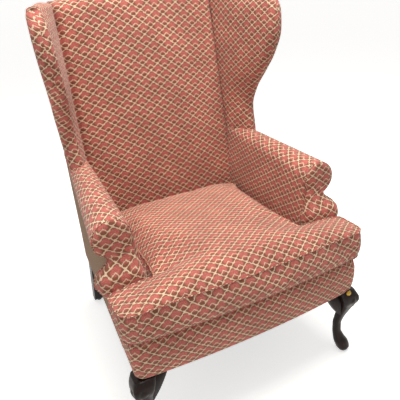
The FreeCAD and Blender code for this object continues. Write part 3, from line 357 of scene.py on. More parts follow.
def finish_named(slot):
    """The material that stands for one of the record's slots, made once."""
    if slot not in FINISHES:
        makers = {
            "trellis_fabric": trellis_fabric,
            "outside_fabric": ribbed_fabric,
            # dyed mahogany under a gloss lacquer: nearly black with red in its highlights
            "dark_wood": lambda: wood("lacquered_dark_mahogany", settings().wood, "#26110A",
                                      0.34, 0.05, 9.0),
            # sawn beech, unfinished, as inside any upholstered frame
            "frame_wood": lambda: wood("sawn_beech", "#A97F55", "#CFA878", 0.7, 0.0, 7.0),
            # hard-drawn oiled spring wire
            "spring_steel": lambda: metal("oiled_spring_steel", "#7A7C80", 0.38, 300.0),
            "slider_metal": lambda: metal("nickel_plated_zinc", "#B9B5AA", 0.3, 500.0),
            # aged brass: olive gold with dark in the hollows
            "tack_brass": lambda: metal("aged_brass", "#A98A3C", 0.35, 260.0),
            "glide_plastic": lambda: metal("moulded_nylon", "#3A3632", 0.5, 200.0, 0.0),
            "zip_nylon": lambda: plain_cloth("zip_tape_nylon", "#8A6A55", "#B08C70", 400.0, 0.7),
            "jute": lambda: plain_cloth("jute_webbing", "#7A5F38", "#B8945C", 220.0),
            # bonded black cambric under the seat
            "black_lining": lambda: plain_cloth("black_cambric", "#0B0B0C", "#1C1C1E", 300.0),
            "deck_lining": lambda: plain_cloth("cotton_deck_lining", "#B39B79", "#D8C3A0", 260.0),
            # waxed thread, darker than the cloth it draws in
            "seam_thread": lambda: plain_cloth("waxed_polyester_thread", "#4A2620", "#7A4438",
                                               900.0, 0.6),
            "wadding": lambda: plain_cloth("cotton_wadding", "#D9D2C4", "#EFEAE0", 60.0),
        }
        FINISHES[slot] = makers[slot]()
    return FINISHES[slot]


# Mesh helpers.


def new_object(name, data):
    """A new object in the scene, at the origin."""
    made = bpy.data.objects.new(name, data)
    bpy.context.scene.collection.objects.link(made)
    return made


def shade(mesh, smooth=True):
    """Shade every face smooth or flat."""
    mesh.polygons.foreach_set("use_smooth", [smooth] * len(mesh.polygons))


def run_lengths(points):
    """The length along a polyline at each of its points."""
    steps = np.linalg.norm(np.diff(points, axis=0), axis=1)
    return np.concatenate([[0], np.cumsum(steps)])


def smooth_curve(knots, places):
    """Cubic through knots (a table of rows by their first column) at the places."""
    table = np.array(knots, float)
    grid = table[:, 0]
    result = []
    for column in range(1, table.shape[1]):
        heights = table[:, column]
        steps = np.diff(grid)
        slopes = np.diff(heights) / steps
        tangents = np.zeros(len(grid))
        for index in range(1, len(grid) - 1):
            before, after = slopes[index - 1], slopes[index]
            if before * after > 0:
                share = (steps[index - 1] + 2 * steps[index]) / 3
                share = share / (steps[index - 1] + steps[index])
                tangents[index] = before * after / (share * after + (1 - share) * before)
        tangents[0], tangents[-1] = slopes[0], slopes[-1]
        spots = np.clip(np.searchsorted(grid, places) - 1, 0, len(grid) - 2)
        part = (places - grid[spots]) / steps[spots]
        low, high = heights[spots], heights[spots + 1]
        first, last = tangents[spots] * steps[spots], tangents[spots + 1] * steps[spots]
        result.append((2 * part ** 3 - 3 * part ** 2 + 1) * low
                      + (part ** 3 - 2 * part ** 2 + part) * first
                      + (3 * part ** 2 - 2 * part ** 3) * high
                      + (part ** 3 - part ** 2) * last)
    return np.stack(result, axis=-1)


def even_path(points, count):
    """Points spaced evenly along a polyline."""
    points = np.array(points, float)
    reach = run_lengths(points)
    places = np.linspace(0, reach[-1], count)
    return np.stack([np.interp(places, reach, points[:, axis]) for axis in range(points.shape[1])],
                    axis=-1)


def arc_points(start, middle, stop, count):
    """Points on the circle through three points of a plane, from start to stop."""
    start, middle, stop = (np.array(point, float) for point in (start, middle, stop))
    first, second = middle - start, stop - start
    cross = 2 * (first[0] * second[1] - first[1] * second[0])
    a, b = first @ first, second @ second
    centre = start + np.array([second[1] * a - first[1] * b, first[0] * b - second[0] * a]) / cross
    radius = np.linalg.norm(start - centre)
    turns = [math.atan2(*(point - centre)[::-1]) for point in (start, middle, stop)]
    forward = (turns[1] - turns[0]) % (2 * math.pi) < (turns[2] - turns[0]) % (2 * math.pi)
    sweep = (turns[2] - turns[0]) % (2 * math.pi)
    if not forward:
        sweep -= 2 * math.pi
    angles = turns[0] + np.linspace(0, 1, count) * sweep
    return centre + radius * np.stack([np.cos(angles), np.sin(angles)], axis=-1)


def grid_piece(name, points, chart, flip=False, wrap=False):
    """A mesh from a table of points, rows by columns, with a cloth chart in metres."""
    points = np.asarray(points, float)
    rows, columns = points.shape[:2]
    mesh = bpy.data.meshes.new(name)
    faces, corners = [], []
    limit = columns if wrap else columns - 1
    for row in range(rows - 1):
        for column in range(limit):
            after = (column + 1) % columns
            face = [(row, column), (row, after), (row + 1, after), (row + 1, column)]
            wide = [(row, column), (row, column + 1), (row + 1, column + 1), (row + 1, column)]
            if flip:
                face, wide = face[::-1], wide[::-1]
            faces.append([r * columns + c for r, c in face])
            corners.extend(wide)
    mesh.from_pydata(points.reshape(-1, 3).tolist(), [], faces)
    layer = mesh.uv_layers.new(name="cloth")
    chart = np.asarray(chart, float)
    if chart.shape[1] <= columns and wrap:
        raise ValueError(name + " needs one more chart column than points")
    flat = np.array([chart[r, c] for r, c in corners])
    layer.data.foreach_set("uv", flat.ravel())
    shade(mesh)
    return new_object(name, mesh)


def turned_chart(chart, scale, degrees=0.0):
    """A cloth chart cut to another scale and turned on the piece."""
    turn = math.radians(degrees)
    spin = np.array([[math.cos(turn), -math.sin(turn)], [math.sin(turn), math.cos(turn)]])
    return chart @ spin.T * scale


def row_lengths(table):
    """The length along each row of a table of points, at each of its columns."""
    steps = np.linalg.norm(np.diff(table, axis=1), axis=2)
    return np.concatenate([np.zeros((len(table), 1)), np.cumsum(steps, axis=1)], axis=1)


def merge(pieces, name, distance=0.00005):
    """Join pieces into one mesh and merge the points that meet."""
    target = pieces[0]
    work = bmesh.new()
    for piece in pieces:
        work.from_mesh(piece.data)
    bmesh.ops.remove_doubles(work, verts=work.verts, dist=distance)
    loose = [edge for edge in work.edges if not edge.link_faces]
    bmesh.ops.delete(work, geom=loose, context="EDGES")
    work.to_mesh(target.data)
    work.free()
    for piece in pieces[1:]:
        bpy.data.objects.remove(piece)
    target.name = name
    target.data.name = name
    return target


def mirror_table(points):
    """A table of points turned over to the left side."""
    flipped = np.array(points, float)
    flipped[..., 0] *= -1
    return flipped


def apply_modifiers(piece):
    """Keep the evaluated mesh and drop the modifiers."""
    graph = bpy.context.evaluated_depsgraph_get()
    graph.update()
    made = bpy.data.meshes.new_from_object(piece.evaluated_get(graph))
    piece.modifiers.clear()
    piece.data = made
    made.name = piece.name
    return piece


def thicken(piece, thickness):
    """Give a sheet its thickness, inwards from the face it shows."""
    modifier = piece.modifiers.new("cloth", "SOLIDIFY")
    modifier.thickness = thickness
    modifier.offset = -1.0
    return apply_modifiers(piece)


def tube(name, path, radius, closed=False, sides=8):
    """A rolled seam: a thin tube along a path, with a chart that runs along it."""
    path = np.asarray(path, float)
    count = len(path)
    after = np.roll(path, -1, axis=0) if closed else np.vstack([path[1:], path[-1:]])
    before = np.roll(path, 1, axis=0) if closed else np.vstack([path[:1], path[:-1]])
    ahead = after - before
    ahead /= np.linalg.norm(ahead, axis=1)[:, None] + 1e-12
    normal = np.cross(ahead[0], [0.3, 0.2, 1.0])
    normal /= np.linalg.norm(normal)
    rings = []
    for index in range(count):
        normal = normal - ahead[index] * (normal @ ahead[index])
        normal /= np.linalg.norm(normal)
        side = np.cross(ahead[index], normal)
        turns = np.linspace(0, 2 * math.pi, sides, endpoint=False)
        taper = radius if closed or 0 < index < count - 1 else radius * 0.2
        rings.append(path[index] + taper * (np.cos(turns)[:, None] * normal
                                            + np.sin(turns)[:, None] * side))
    if closed:
        rings.append(rings[0])
    reach = run_lengths(path)
    if closed:
        reach = np.append(reach, reach[-1] + np.linalg.norm(path[0] - path[-1]))
    round_chart = np.linspace(0, 2 * math.pi * radius, sides + 1)
    chart = np.stack(np.meshgrid(round_chart, reach), axis=-1)
    piece = grid_piece(name, rings, chart, wrap=True)
    return merge([piece], name)


def row_tree(name, shape):
    """Nodes that set one small shape at even steps along a path."""
    tree = bpy.data.node_groups.new(name, "GeometryNodeTree")
    for label, kind in (("Path", "Geometry"), ("Spacing", "Float"), ("Size", "Vector"),
                        ("Finish", "Material")):
        tree.interface.new_socket(label, in_out="INPUT", socket_type="NodeSocket" + kind)
    tree.interface.new_socket("Row", in_out="OUTPUT", socket_type="NodeSocketGeometry")
    given = add(tree, kind="NodeGroupInput", out=None).outputs
    curve = add(tree, {"Mesh": given["Path"]}, kind="GeometryNodeMeshToCurve")
    steps = add(tree, {"Curve": curve, "Length": given["Spacing"]},
                kind="GeometryNodeCurveToPoints", mode="LENGTH", out=None).outputs
    if shape == "rounded":
        item = add(tree, {"Radius": 0.5, "Subdivisions": 2}, kind="GeometryNodeMeshIcoSphere")
    else:
        item = add(tree, {"Size": (1.0, 1.0, 1.0)}, kind="GeometryNodeMeshCube")
    placed = add(tree, {"Points": steps["Points"], "Instance": item,
                        "Rotation": steps["Rotation"], "Scale": given["Size"]},
                 kind="GeometryNodeInstanceOnPoints")
    real = add(tree, {"Geometry": placed}, kind="GeometryNodeRealizeInstances")
    painted = add(tree, {"Geometry": real, "Material": given["Finish"]},
                  kind="GeometryNodeSetMaterial")
    add(tree, {"Row": painted}, kind="NodeGroupOutput", out=None)
    return tree


def row_along(name, paths, spacing, size, slot, shape="rounded"):
    """A row of stitches, staples or zip teeth along one or more paths."""
    verts, edges = [], []
    for path, closed in paths:
        start = len(verts)
        verts += [tuple(point) for point in path]
        edges += [(start + index, start + index + 1) for index in range(len(path) - 1)]
        if closed:
            edges.append((len(verts) - 1, start))
    mesh = bpy.data.meshes.new(name)
    mesh.from_pydata(verts, edges, [])
    piece = new_object(name, mesh)
    tree = bpy.data.node_groups.get(shape + "_row") or row_tree(shape + "_row", shape)
    modifier = piece.modifiers.new("row", "NODES")
    modifier.node_group = tree
    inputs = {"Spacing": spacing, "Size": size, "Finish": finish_named(slot)}
    for socket in tree.interface.items_tree:
        if socket.in_out == "INPUT" and socket.name in inputs:
            modifier[socket.identifier] = inputs[socket.name]
    piece = apply_modifiers(piece)
    shade(piece.data, shape == "rounded")
    return piece


def settle(piece, slot, body="chair", replaces=()):
    """Give a finished piece its material, body and what it stands for."""
    piece.data.materials.clear()
    piece.data.materials.append(finish_named(slot))
    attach(piece, body)
    # the construction parts that the piece stands for are hidden
    if replaces:
        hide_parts(*replaces)
    return piece


# The chair's own lines, as in the construction.


def post_face(height):
    """Front of the back posts, which lean from the bend upwards."""
    return FRAME_REAR - POST_DEPTH + max(0.0, height - POST_BEND) * POST_LEAN / (
        POST_TOP - POST_BEND)


def back_edge(height):
    """Front of the padded back where it meets the wings."""
    return BACK_FACE + (height - BACK_FACE_HEIGHT) * BACK_SLOPE


def side_x(back):
    """Half the seat frame's width at a distance back."""
    return FRONT_HALF - (back - SIDE_FRONT) * (FRONT_HALF - REAR_HALF) / (
        FRAME_REAR - SIDE_FRONT)


def arm_share(back):
    """How far along the arm a place is, from 0 in front to 1 at the rear."""
    return (back - ARM_FRONT) / (FRAME_REAR - ARM_FRONT)


def roll_at(back):
    """Centre and radius of the arm's roll at a distance back."""
    share = arm_share(back)
    radius = ROLL_FRONT + (ROLL_REAR - ROLL_FRONT) * share
    top = ARM_TOP + (ARM_TOP_REAR - ARM_TOP) * share
    return ROLL_FRONT_X + (ROLL_REAR_X - ROLL_FRONT_X) * share, top - radius, radius


def lip_turn(back):
    """How far the roll's cloth turns under: most in front, least at the wing."""
    return math.radians(LIP_FRONT + (LIP_REAR - LIP_FRONT) * arm_share(back))


def arm_section(back, count, grow=COVER):
    """Across and height of the arm's cover at a distance back, from the deck to the lip."""
    across, height, radius = roll_at(back)
    radius += grow
    foot = np.array([ARM_INSIDE - grow, PAD_LOW])
    centre = np.array([across, height])
    reach = centre - foot
    slope = math.atan2(reach[1], reach[0]) + math.asin(radius / np.linalg.norm(reach))
    turns = np.linspace(slope + math.pi / 2, lip_turn(back), 60)
    round_part = centre + radius * np.stack([np.cos(turns), np.sin(turns)], axis=-1)
    share = np.linspace(0, 1, 30)[:-1]
    wall_part = foot + share[:, None] * (round_part[0] - foot)
    # the padding fills the inside face a little, most at half height
    wall_part[:, 0] -= 0.004 * np.sin(math.pi * share)
    lip = [[side_x(back) - 0.0032, round_part[-1][1]]]
    return even_path(np.vstack([wall_part, round_part, lip]), count)


def arm_table(rows=70, columns=96):
    """Points of the arm's cover, from the deck to the lip by front to rear."""
    table = []
    # the cloth turns over the arm's front edge, behind the padded front panel: how much
    # larger each turned section is than the padding, and how far ahead of it
    for grow, ahead in ((-0.016, 0.0012), (-0.006, 0.0012), (0.0005, 0.0006)):
        section = arm_section(ARM_FRONT, rows, grow)
        table.append([[x, ARM_FRONT - ahead, z] for x, z in section])
    for back in np.linspace(ARM_FRONT + 0.002, 0.330, columns):
        section = arm_section(back, rows)
        table.append([[x, back, z] for x, z in section])
    return np.array(table).transpose(1, 0, 2)


def arm_cover(side, end):
    """The inside arm's cover: up from the deck, over the roll and in under it."""
    table = arm_table()
    rows, columns = table.shape[:2]
    chart = np.zeros((rows, columns, 2))
    chart[..., 0] = table[..., 1]
    chart[..., 1] = run_lengths(table[:, columns // 3])[:, None]
    # the cloth is cut to follow the rising arm
    chart = turned_chart(chart, 1.0, -7.0)
    if side < 0:
        table, chart = mirror_table(table), mirror_table(chart)
    piece = grid_piece("arm_cover_%s_cloth" % end, table, chart, flip=side < 0)
    return thicken(piece, settings().cloth)


FACING_TABLE = [
    # height, inner edge, outer edge, depth
    (0.3584, 0.253, 0.342, 0.030), (0.392, 0.252, 0.350, 0.035), (0.430, 0.251, 0.371, 0.040),
    (0.455, 0.252, 0.382, 0.046), (0.478, 0.256, 0.379, 0.042), (0.498, 0.262, 0.358, 0.028),
    (0.512, 0.266, 0.342, 0.019), (0.523, 0.268, 0.338, 0.014), (0.534, 0.271, 0.354, 0.012),
]


def facing_edges(count):
    """Height, inner, outer and depth of the arm's front panel at even heights."""
    across, height, radius = roll_at(ARM_FRONT)
    radius += COVER
    knots = list(FACING_TABLE)
    for degrees in (-25, -10, 0, 15, 30, 45, 58, 69, 78, 84, 90):
        turn = math.radians(degrees)
        half = radius * math.cos(turn)
        knots.append((height + radius * math.sin(turn), across - half, across + half,
                      0.012 * max(0.25, math.cos(turn)) ** 0.5))
    top = knots[-1][0]
    share = np.linspace(0, 1, count)
    places = knots[0][0] + (top - knots[0][0]) * (1 - (1 - share) ** 1.35)
    return places, smooth_curve(knots, places)


def arm_front_panel(side, end):
    """The padded front of the arm, with its rolled seam round the edge."""
    heights, edges = facing_edges(90)
    columns = 41
    # the panel's edge is tucked in behind the arm's own cover
    tuck = 0.005
    share = np.linspace(-1, 1, columns)
    lean = np.sign(share) * np.abs(share) ** 0.8
    swell = (1 - np.abs(share) ** 4.5) ** 0.5
    table = []
    for height, (inner, outer, depth) in zip(heights, edges):
        across = (inner + outer) / 2 + (outer - inner) / 2 * lean
        back = ARM_FRONT + tuck - (depth + tuck) * swell
        table.append(np.stack([across, back, np.full(columns, height)], axis=-1))
    table = np.array(table)
    lengths = row_lengths(table)
    chart = np.stack([lengths + (0.305 - lengths[:, columns // 2])[:, None], table[..., 2]],
                     axis=-1)
    rims = [np.column_stack([edges[:, column], np.full(len(heights), ARM_FRONT - 0.001),
                             heights]) for column in (0, 1)]
    loop = even_path(np.vstack([rims[0], rims[1][::-1]]), 160)
    if side < 0:
        table, loop, chart = mirror_table(table), mirror_table(loop), mirror_table(chart)
    piece = grid_piece("arm_front_panel_%s_cloth" % end, table, chart, flip=side < 0)
    seam = tube("arm_front_panel_%s_seam" % end, loop, settings().seam_radius)
    return thicken(piece, settings().cloth), seam


# Where the wing's two faces meet the back post.
WING_INNER, WING_OUTER = 0.265, 0.303
WING_LOW, WING_HIGH = 0.585, 1.0955
WING_TABLE = [
    # height, front edge, outer side, thickness of the front roll
    (0.560, 0.128, 0.326, 0.040), (0.650, 0.138, 0.328, 0.040), (0.730, 0.154, 0.333, 0.042),
    (0.790, 0.134, 0.341, 0.044), (0.850, 0.090, 0.350, 0.045), (0.910, 0.050, 0.360, 0.046),
    (0.985, 0.026, 0.370, 0.046), (1.045, 0.032, 0.373, 0.044), (1.082, 0.056, 0.371, 0.038),
    (1.0925, 0.070, 0.367, 0.034), (1.103, 0.092, 0.361, 0.024),
]


def wing_sides(height, count, skin=0.0024):
    """Inner and outer run of a level wing section, both from the rear to the front edge."""
    level = min(height, WING_TABLE[-1][0])
    front, outer, thick = smooth_curve(WING_TABLE, np.array([level]))[0]
    inner = outer - thick
    rear = post_face(level) + POST_DEPTH
    crease = min(back_edge(level) + 0.008, post_face(level) - 0.012)
    roll = thick * 0.5
    tip = ((inner + outer) / 2, front - skin)
    near = arc_points((inner - skin, front + roll), tip, (outer + skin, front + roll), 41)
    # the inside face swells a little between the crease and the front roll
    run = np.linspace(0, 1, 30)
    start = np.array([WING_INNER - skin, crease])
    face = start + run[:, None] * (near[0] - start)
    face[:, 0] -= 0.006 * np.sin(math.pi * run)
    inner_path = np.vstack([[[WING_INNER - skin, rear]], face, near[1:21]])
    outer_path = np.vstack([[[WING_OUTER + skin, rear]], near[::-1][:21]])
    return even_path(inner_path, count), even_path(outer_path, count)


def wing_pieces(side, end):
    """The wing's cover with its front roll, and the plain panel behind it."""
    count = 64
    # the column where the cover's strip ends and the plain panel starts
    split = 44
    heights = np.linspace(WING_LOW, WING_HIGH, 84)
    inner_rows, outer_rows = [], []
    for height in heights:
        inside, outside = wing_sides(height, count)
        inner_rows.append(np.column_stack([inside, np.full(count, height)]))
        outer_rows.append(np.column_stack([outside, np.full(count, height)]))
    over = []
    inside, outside = inner_rows[-1], outer_rows[-1]
    for turn in np.linspace(0, math.pi, 15)[1:-1]:
        blend = (1 - math.cos(turn)) / 2
        row = inside * (1 - blend) + outside * blend
        row[:, 2] += 0.010 * math.sin(turn)
        over.append(row)
    # the same cloth folds down behind, over the end of the post
    ends = [inner_rows[-1]] + over + [outer_rows[-1]]
    fold = []
    for inside, outside in zip(inner_rows[50:], outer_rows[50:]):
        fold.append([inside[0] + (outside[0] - inside[0]) * part
                     for part in np.linspace(0, 1, len(ends))])
    fold.append([row[0] for row in ends])
    fold = np.array(fold)
    fold[:-1, 1:-1, 1] += 0.002
    fold_chart = fold[..., [0, 2]]
    inner_table = np.array(inner_rows + over + [outer_rows[-1]])
    outer_table = np.array(outer_rows)
    inner_chart = np.zeros(inner_table.shape[:2] + (2,))
    inner_chart[..., 0] = row_lengths(inner_table)
    # the warp stands upright on the face, so the chart is measured back from the front edge
    inner_chart[..., 0] -= inner_chart[:, -1:, 0] + inner_table[:, -1:, 1]
    inner_chart[..., 1] = run_lengths(inner_table[:, 30])[:, None] + WING_LOW
    tip_length = inner_chart[:len(heights), -1, 0]
    outer_chart = np.zeros(outer_table.shape[:2] + (2,))
    reach = row_lengths(outer_table)
    outer_chart[..., 0] = tip_length[:, None] + (reach[:, -1:] - reach)
    outer_chart[..., 1] = heights[:, None]
    strip, strip_chart = outer_table[:, split:], outer_chart[:, split:]
    panel, panel_chart = outer_table[:, :split + 1].copy(), outer_chart[:, :split + 1]
    panel[..., 0] -= 0.0006
    seam_path = outer_table[:, split].copy()
    seam_path[:, 0] += 0.0004
    top_path = outer_table[-1, :split + 1][::-1]
    seam_path = np.vstack([seam_path, top_path])
    if side < 0:
        inner_table, strip = mirror_table(inner_table), mirror_table(strip)
        panel, seam_path = mirror_table(panel), mirror_table(seam_path)
        fold = mirror_table(fold)
        for chart in (inner_chart, strip_chart):
            chart[..., 0] *= -1
    front = grid_piece("wing_a", inner_table, inner_chart, flip=side < 0)
    wrap = grid_piece("wing_b", strip, strip_chart, flip=side > 0)
    behind = grid_piece("wing_c", fold, fold_chart, flip=side > 0)
    cover = merge([front, wrap, behind], "wing_cover_%s_cloth" % end, 0.0001)
    cover = thicken(cover, settings().cloth)
    plain = grid_piece("outside_wing_panel_%s_cloth" % end, panel, panel_chart,
                       flip=side > 0)
    plain = thicken(plain, settings().cloth)
    seam = tube("outside_wing_seam_" + end, even_path(seam_path, 150),
                settings().seam_radius * 0.8)
    return cover, plain, seam


def back_profile(across, count, grow=COVER):
    """Back and height of the padded back at a place across, from the seat over the crest."""
    share = 1 - min(1.0, abs(across) / BACK_HALF) ** 2
    crown = BACK_CROWN * share
    top = BACK_TOP - BACK_ARCH * (1 - share) + grow
    turn = top - 0.042 - grow
    rear = post_face(POST_TOP) + POST_DEPTH + 0.006 + grow
    foot, belly, shoulder = (
        np.array([back_edge(height) - bulge - grow, height])
        for height, bulge in ((PAD_LOW, 0), ((PAD_LOW + turn) / 2, crown + 0.004),
                              (turn, crown * 0.8)))
    ridge = np.array([(shoulder[0] + rear) / 2, top])
    front_mid = np.array([shoulder[0] + (ridge[0] - shoulder[0]) * 0.29, top - 0.012])
    nape = np.array([rear, top - 0.050 - grow])
    rear_mid = np.array([rear - (rear - ridge[0]) * 0.25, top - 0.009])
    return even_path(np.vstack([arc_points(foot, belly, shoulder, 60),
                                arc_points(shoulder, front_mid, ridge, 16)[1:],
                                arc_points(ridge, rear_mid, nape, 16)[1:]]), count)


def inside_back():
    """The inside back's cover, from the seat up and over the crest."""
    rows, columns = 100, 72
    share = np.linspace(-1, 1, columns)
    table = []
    for part in share:
        across = part * (BACK_HALF + 0.001)
        section = back_profile(across, rows)
        tuck = max(0.0, abs(part) - 0.93) / 0.07
        section[:, 0] += 0.020 * tuck ** 2
        table.append([[across, y, z] for y, z in section])
    # both ends fold inwards, so that the crest is closed
    middle = np.array([0.0, 0.350, 1.060])
    for spot, source in ((0, 0), (len(table) + 1, -1)):
        end = np.array(table[source])
        shrunk = middle + (end - middle) * [1.0, 0.25, 0.25]
        high = np.clip((end[:, 2] - 1.02) / 0.02, 0, 1)[:, None]
        table.insert(spot, (end + (shrunk - end) * high).tolist())
    table = np.array(table).transpose(1, 0, 2)
    chart = np.zeros(table.shape[:2] + (2,))
    chart[..., 0] = table[..., 0]
    chart[..., 1] = run_lengths(table[:, columns // 2])[:, None]
    piece = grid_piece("inside_back_cloth", table, chart)
    return thicken(piece, settings().cloth)


def outside_back():
    """The plain panel behind the posts, from the seat rail to under the crest."""
    rows, columns = 60, 40
    table = []
    for part in np.linspace(-1, 1, columns):
        across = part * 0.3052
        top = 1.067 - BACK_ARCH * part ** 2
        column = []
        for share in np.linspace(0, 1, rows):
            height = RAIL_LOW + (top - RAIL_LOW) * share
            back = post_face(height) + POST_DEPTH + 0.0033
            swell = 0.003 * (1 - part ** 2) * math.sin(math.pi * share)
            column.append([across, back + swell, height])
        table.append(column)
    table = np.array(table).transpose(1, 0, 2)
    piece = grid_piece("outside_back_cloth", table, table[..., [0, 2]], flip=True)
    return thicken(piece, PANEL)


def outside_arm(side, end):
    """The plain outer side of the arm, from the seat rail up under the roll."""
    rows, columns = 40, 60
    table = []
    for row in np.linspace(0, 1, rows):
        line = []
        for part in np.linspace(0, 1, columns):
            back = ARM_FRONT + part * (FRAME_REAR - ARM_FRONT)
            _, height, radius = roll_at(min(back, 0.336))
            top = height + (radius + COVER) * math.sin(lip_turn(back)) + 0.001
            up = RAIL_LOW + (top - RAIL_LOW) * row
            rear_push = part * (post_face(up) + POST_DEPTH - FRAME_REAR)
            swell = 0.0022 * math.sin(math.pi * row) * math.sin(math.pi * part)
            line.append([side_x(back) + swell, back + rear_push, up])
        table.append(line)
    table = np.array(table)
    chart = table[..., [1, 2]].copy()
    if side < 0:
        table = mirror_table(table)
    piece = grid_piece("outside_arm_%s_cloth" % end, table, chart, flip=side < 0)
    return thicken(piece, PANEL)


def border_plan(inset):
    """The seat front's plan, from the right arm round the bowed front to the left arm."""
    half, front = FRONT_HALF - inset, FRAME_FRONT + inset
    corner = 0.022
    bend = corner * (1 - math.sqrt(0.5))
    # the sides run in towards the rear, and end just before the arm
    taper, stop = 0.0639, ARM_FRONT - 0.0004
    side_run = [(half - (ARM_FRONT - SIDE_FRONT) * taper * part,
                 stop - (stop - front - corner) * (1 - part))
                for part in np.linspace(1, 0, 30)]
    right = arc_points((half, front + corner), (half - bend, front + bend - 0.0015),
                       (half - corner, front - 0.003), 14)
    bow = arc_points((half - corner, front - 0.003), (0, front - 0.020),
                     (-half + corner, front - 0.003), 120)
    start = np.vstack([side_run, right[1:]])
    left = start[::-1] * [-1, 1]
    return np.vstack([start, bow[1:], left[1:]])


def front_border():
    """The padded border under the cushion, wrapped round both corners."""
    # how far inside the frame's outline, and how high, from under the rail to the deck
    profile = even_path(
        [(0.014, 0.2400), (0.006, 0.2392), (0.0015, 0.2425), (-0.0005, 0.250), (-0.0040, 0.270),
         (-0.0065, 0.298), (-0.0060, 0.325), (-0.0025, 0.345), (0.003, 0.3535), (0.010, 0.3578),
         (0.024, 0.3590), (0.064, 0.3574)], 48)
    columns = 260
    table = np.array([np.column_stack([even_path(border_plan(inset), columns),
                                       np.full(columns, height)])
                      for inset, height in profile])
    reach = run_lengths(table[20])
    chart = np.stack(np.meshgrid(-(reach - reach[-1] / 2), run_lengths(profile)), axis=-1)
    chart = turned_chart(chart, SEAT_REPEAT)
    pieces = [grid_piece("front_border_cloth", table, chart, flip=True)]
    # the cloth runs on under the cushion's ears, up to the arms
    rest_height, rest_outer, rest_front = 0.3566, 0.312, -0.316
    for side, end in SIDES:
        under = np.array([[[side * x, y, rest_height]
                           for x in np.linspace(SEAT_HALF, rest_outer, 6)]
                          for y in np.linspace(rest_front, ARM_FRONT + 0.002, 8)])
        pieces.append(grid_piece("ear_rest_" + end, under, under[..., :2], flip=side < 0))
    return thicken(merge(pieces, "front_border_cloth"), settings().cloth)


# The loose cushion.


# From the deck's own frame, and from the cushion's, to the chair's.
DECK_LIFT = Matrix.Translation(Vector((0, FRAME_FRONT, SEAT_HEIGHT))) @ Matrix.Rotation(
    math.radians(-SEAT_TILT), 4, "X")
SEAT_LIFT = DECK_LIFT @ Matrix.Translation(Vector((0, -0.022, 0)))


def cushion_plan(inset, spacing):
    """Plan of the T-shaped cushion, one closed run anticlockwise from above."""
    ear, half = EAR_HALF - inset, SEAT_HALF - inset
    notch, rear = EAR_BACK - inset, SEAT_DEPTH - inset
    front, middle = inset, inset - SEAT_BOW
    corner = 0.042 - 1.2 * inset
    turn = 1 - math.sqrt(0.5)
    right = np.vstack([
        arc_points((ear - corner, front - 0.008), (ear - corner * turn, front + corner * turn
                   - 0.004), (ear, front + corner), 14),
        arc_points((ear, notch - 0.010), (ear - 0.010 * turn, notch - 0.010 * turn),
                   (ear - 0.010, notch), 7),
        arc_points((half + 0.008, notch), (half + 0.008 * turn, notch + 0.008 * turn),
                   (half, notch + 0.008), 7),
        arc_points((half, rear - 0.022), (half - 0.022 * turn, rear - 0.022 * turn),
                   (half - 0.022, rear), 9),
    ])
    left = right[::-1] * [-1, 1]
    bow = arc_points((-(ear - corner), front - 0.008), (0, middle), (ear - corner, front - 0.008),
                     80)
    loop = np.vstack([bow[:-1], right, left, bow[:1]])
    return even_path(loop, int(run_lengths(loop)[-1] / spacing) + 1)[:-1]


def ring_like(plan, inset, spacing):
    """The cushion's plan at another inset, with a point for each of a plan's own."""
    ring = cushion_plan(inset, spacing)
    return even_path(np.vstack([ring, ring[:1]]), len(plan) + 1)[:-1]


def cushion_panel(plan, spacing):
    """Points and triangles that fill the plan evenly, its own points first."""
    low, high = plan.min(axis=0), plan.max(axis=0)
    edge_next = np.roll(plan, -1, axis=0)
    keep = []
    for index, back in enumerate(np.arange(low[1], high[1], spacing * 0.87)):
        shift = spacing / 2 * (index % 2)
        for across in np.arange(low[0] + shift, high[0], spacing):
            # a point lies inside where its level line meets the outline an odd number of times
            crosses = (plan[:, 1] > back) != (edge_next[:, 1] > back)
            meets = (edge_next[:, 0] - plan[:, 0]) * (back - plan[:, 1]) / (
                edge_next[:, 1] - plan[:, 1] + 1e-12) + plan[:, 0]
            if (crosses & (across < meets)).sum() % 2 == 0:
                continue
            if np.linalg.norm(plan - (across, back), axis=1).min() > spacing * 0.6:
                keep.append((across, back))
    flat = [Vector(point) for point in plan] + [Vector(point) for point in keep]
    borders = [(index, (index + 1) % len(plan)) for index in range(len(plan))]
    points, _, triangles, *_ = delaunay_2d_cdt(flat, borders, [], 1, 1e-7)
    return [tuple(point) for point in points], triangles


def crown_rise(across, back):
    """Height of the stuffed crown above the seam, before the filling pushes it up."""
    crown = 0.026
    edge = EAR_HALF if back < 0.118 else SEAT_HALF
    side = max(0.0, 1 - (abs(across) / edge) ** 4)
    front = 1 - math.exp(-(back + 0.025) / 0.045)
    rear = 1 - math.exp(-(0.572 - back) / 0.050)
    return crown * side * max(front, 0) * max(rear, 0)


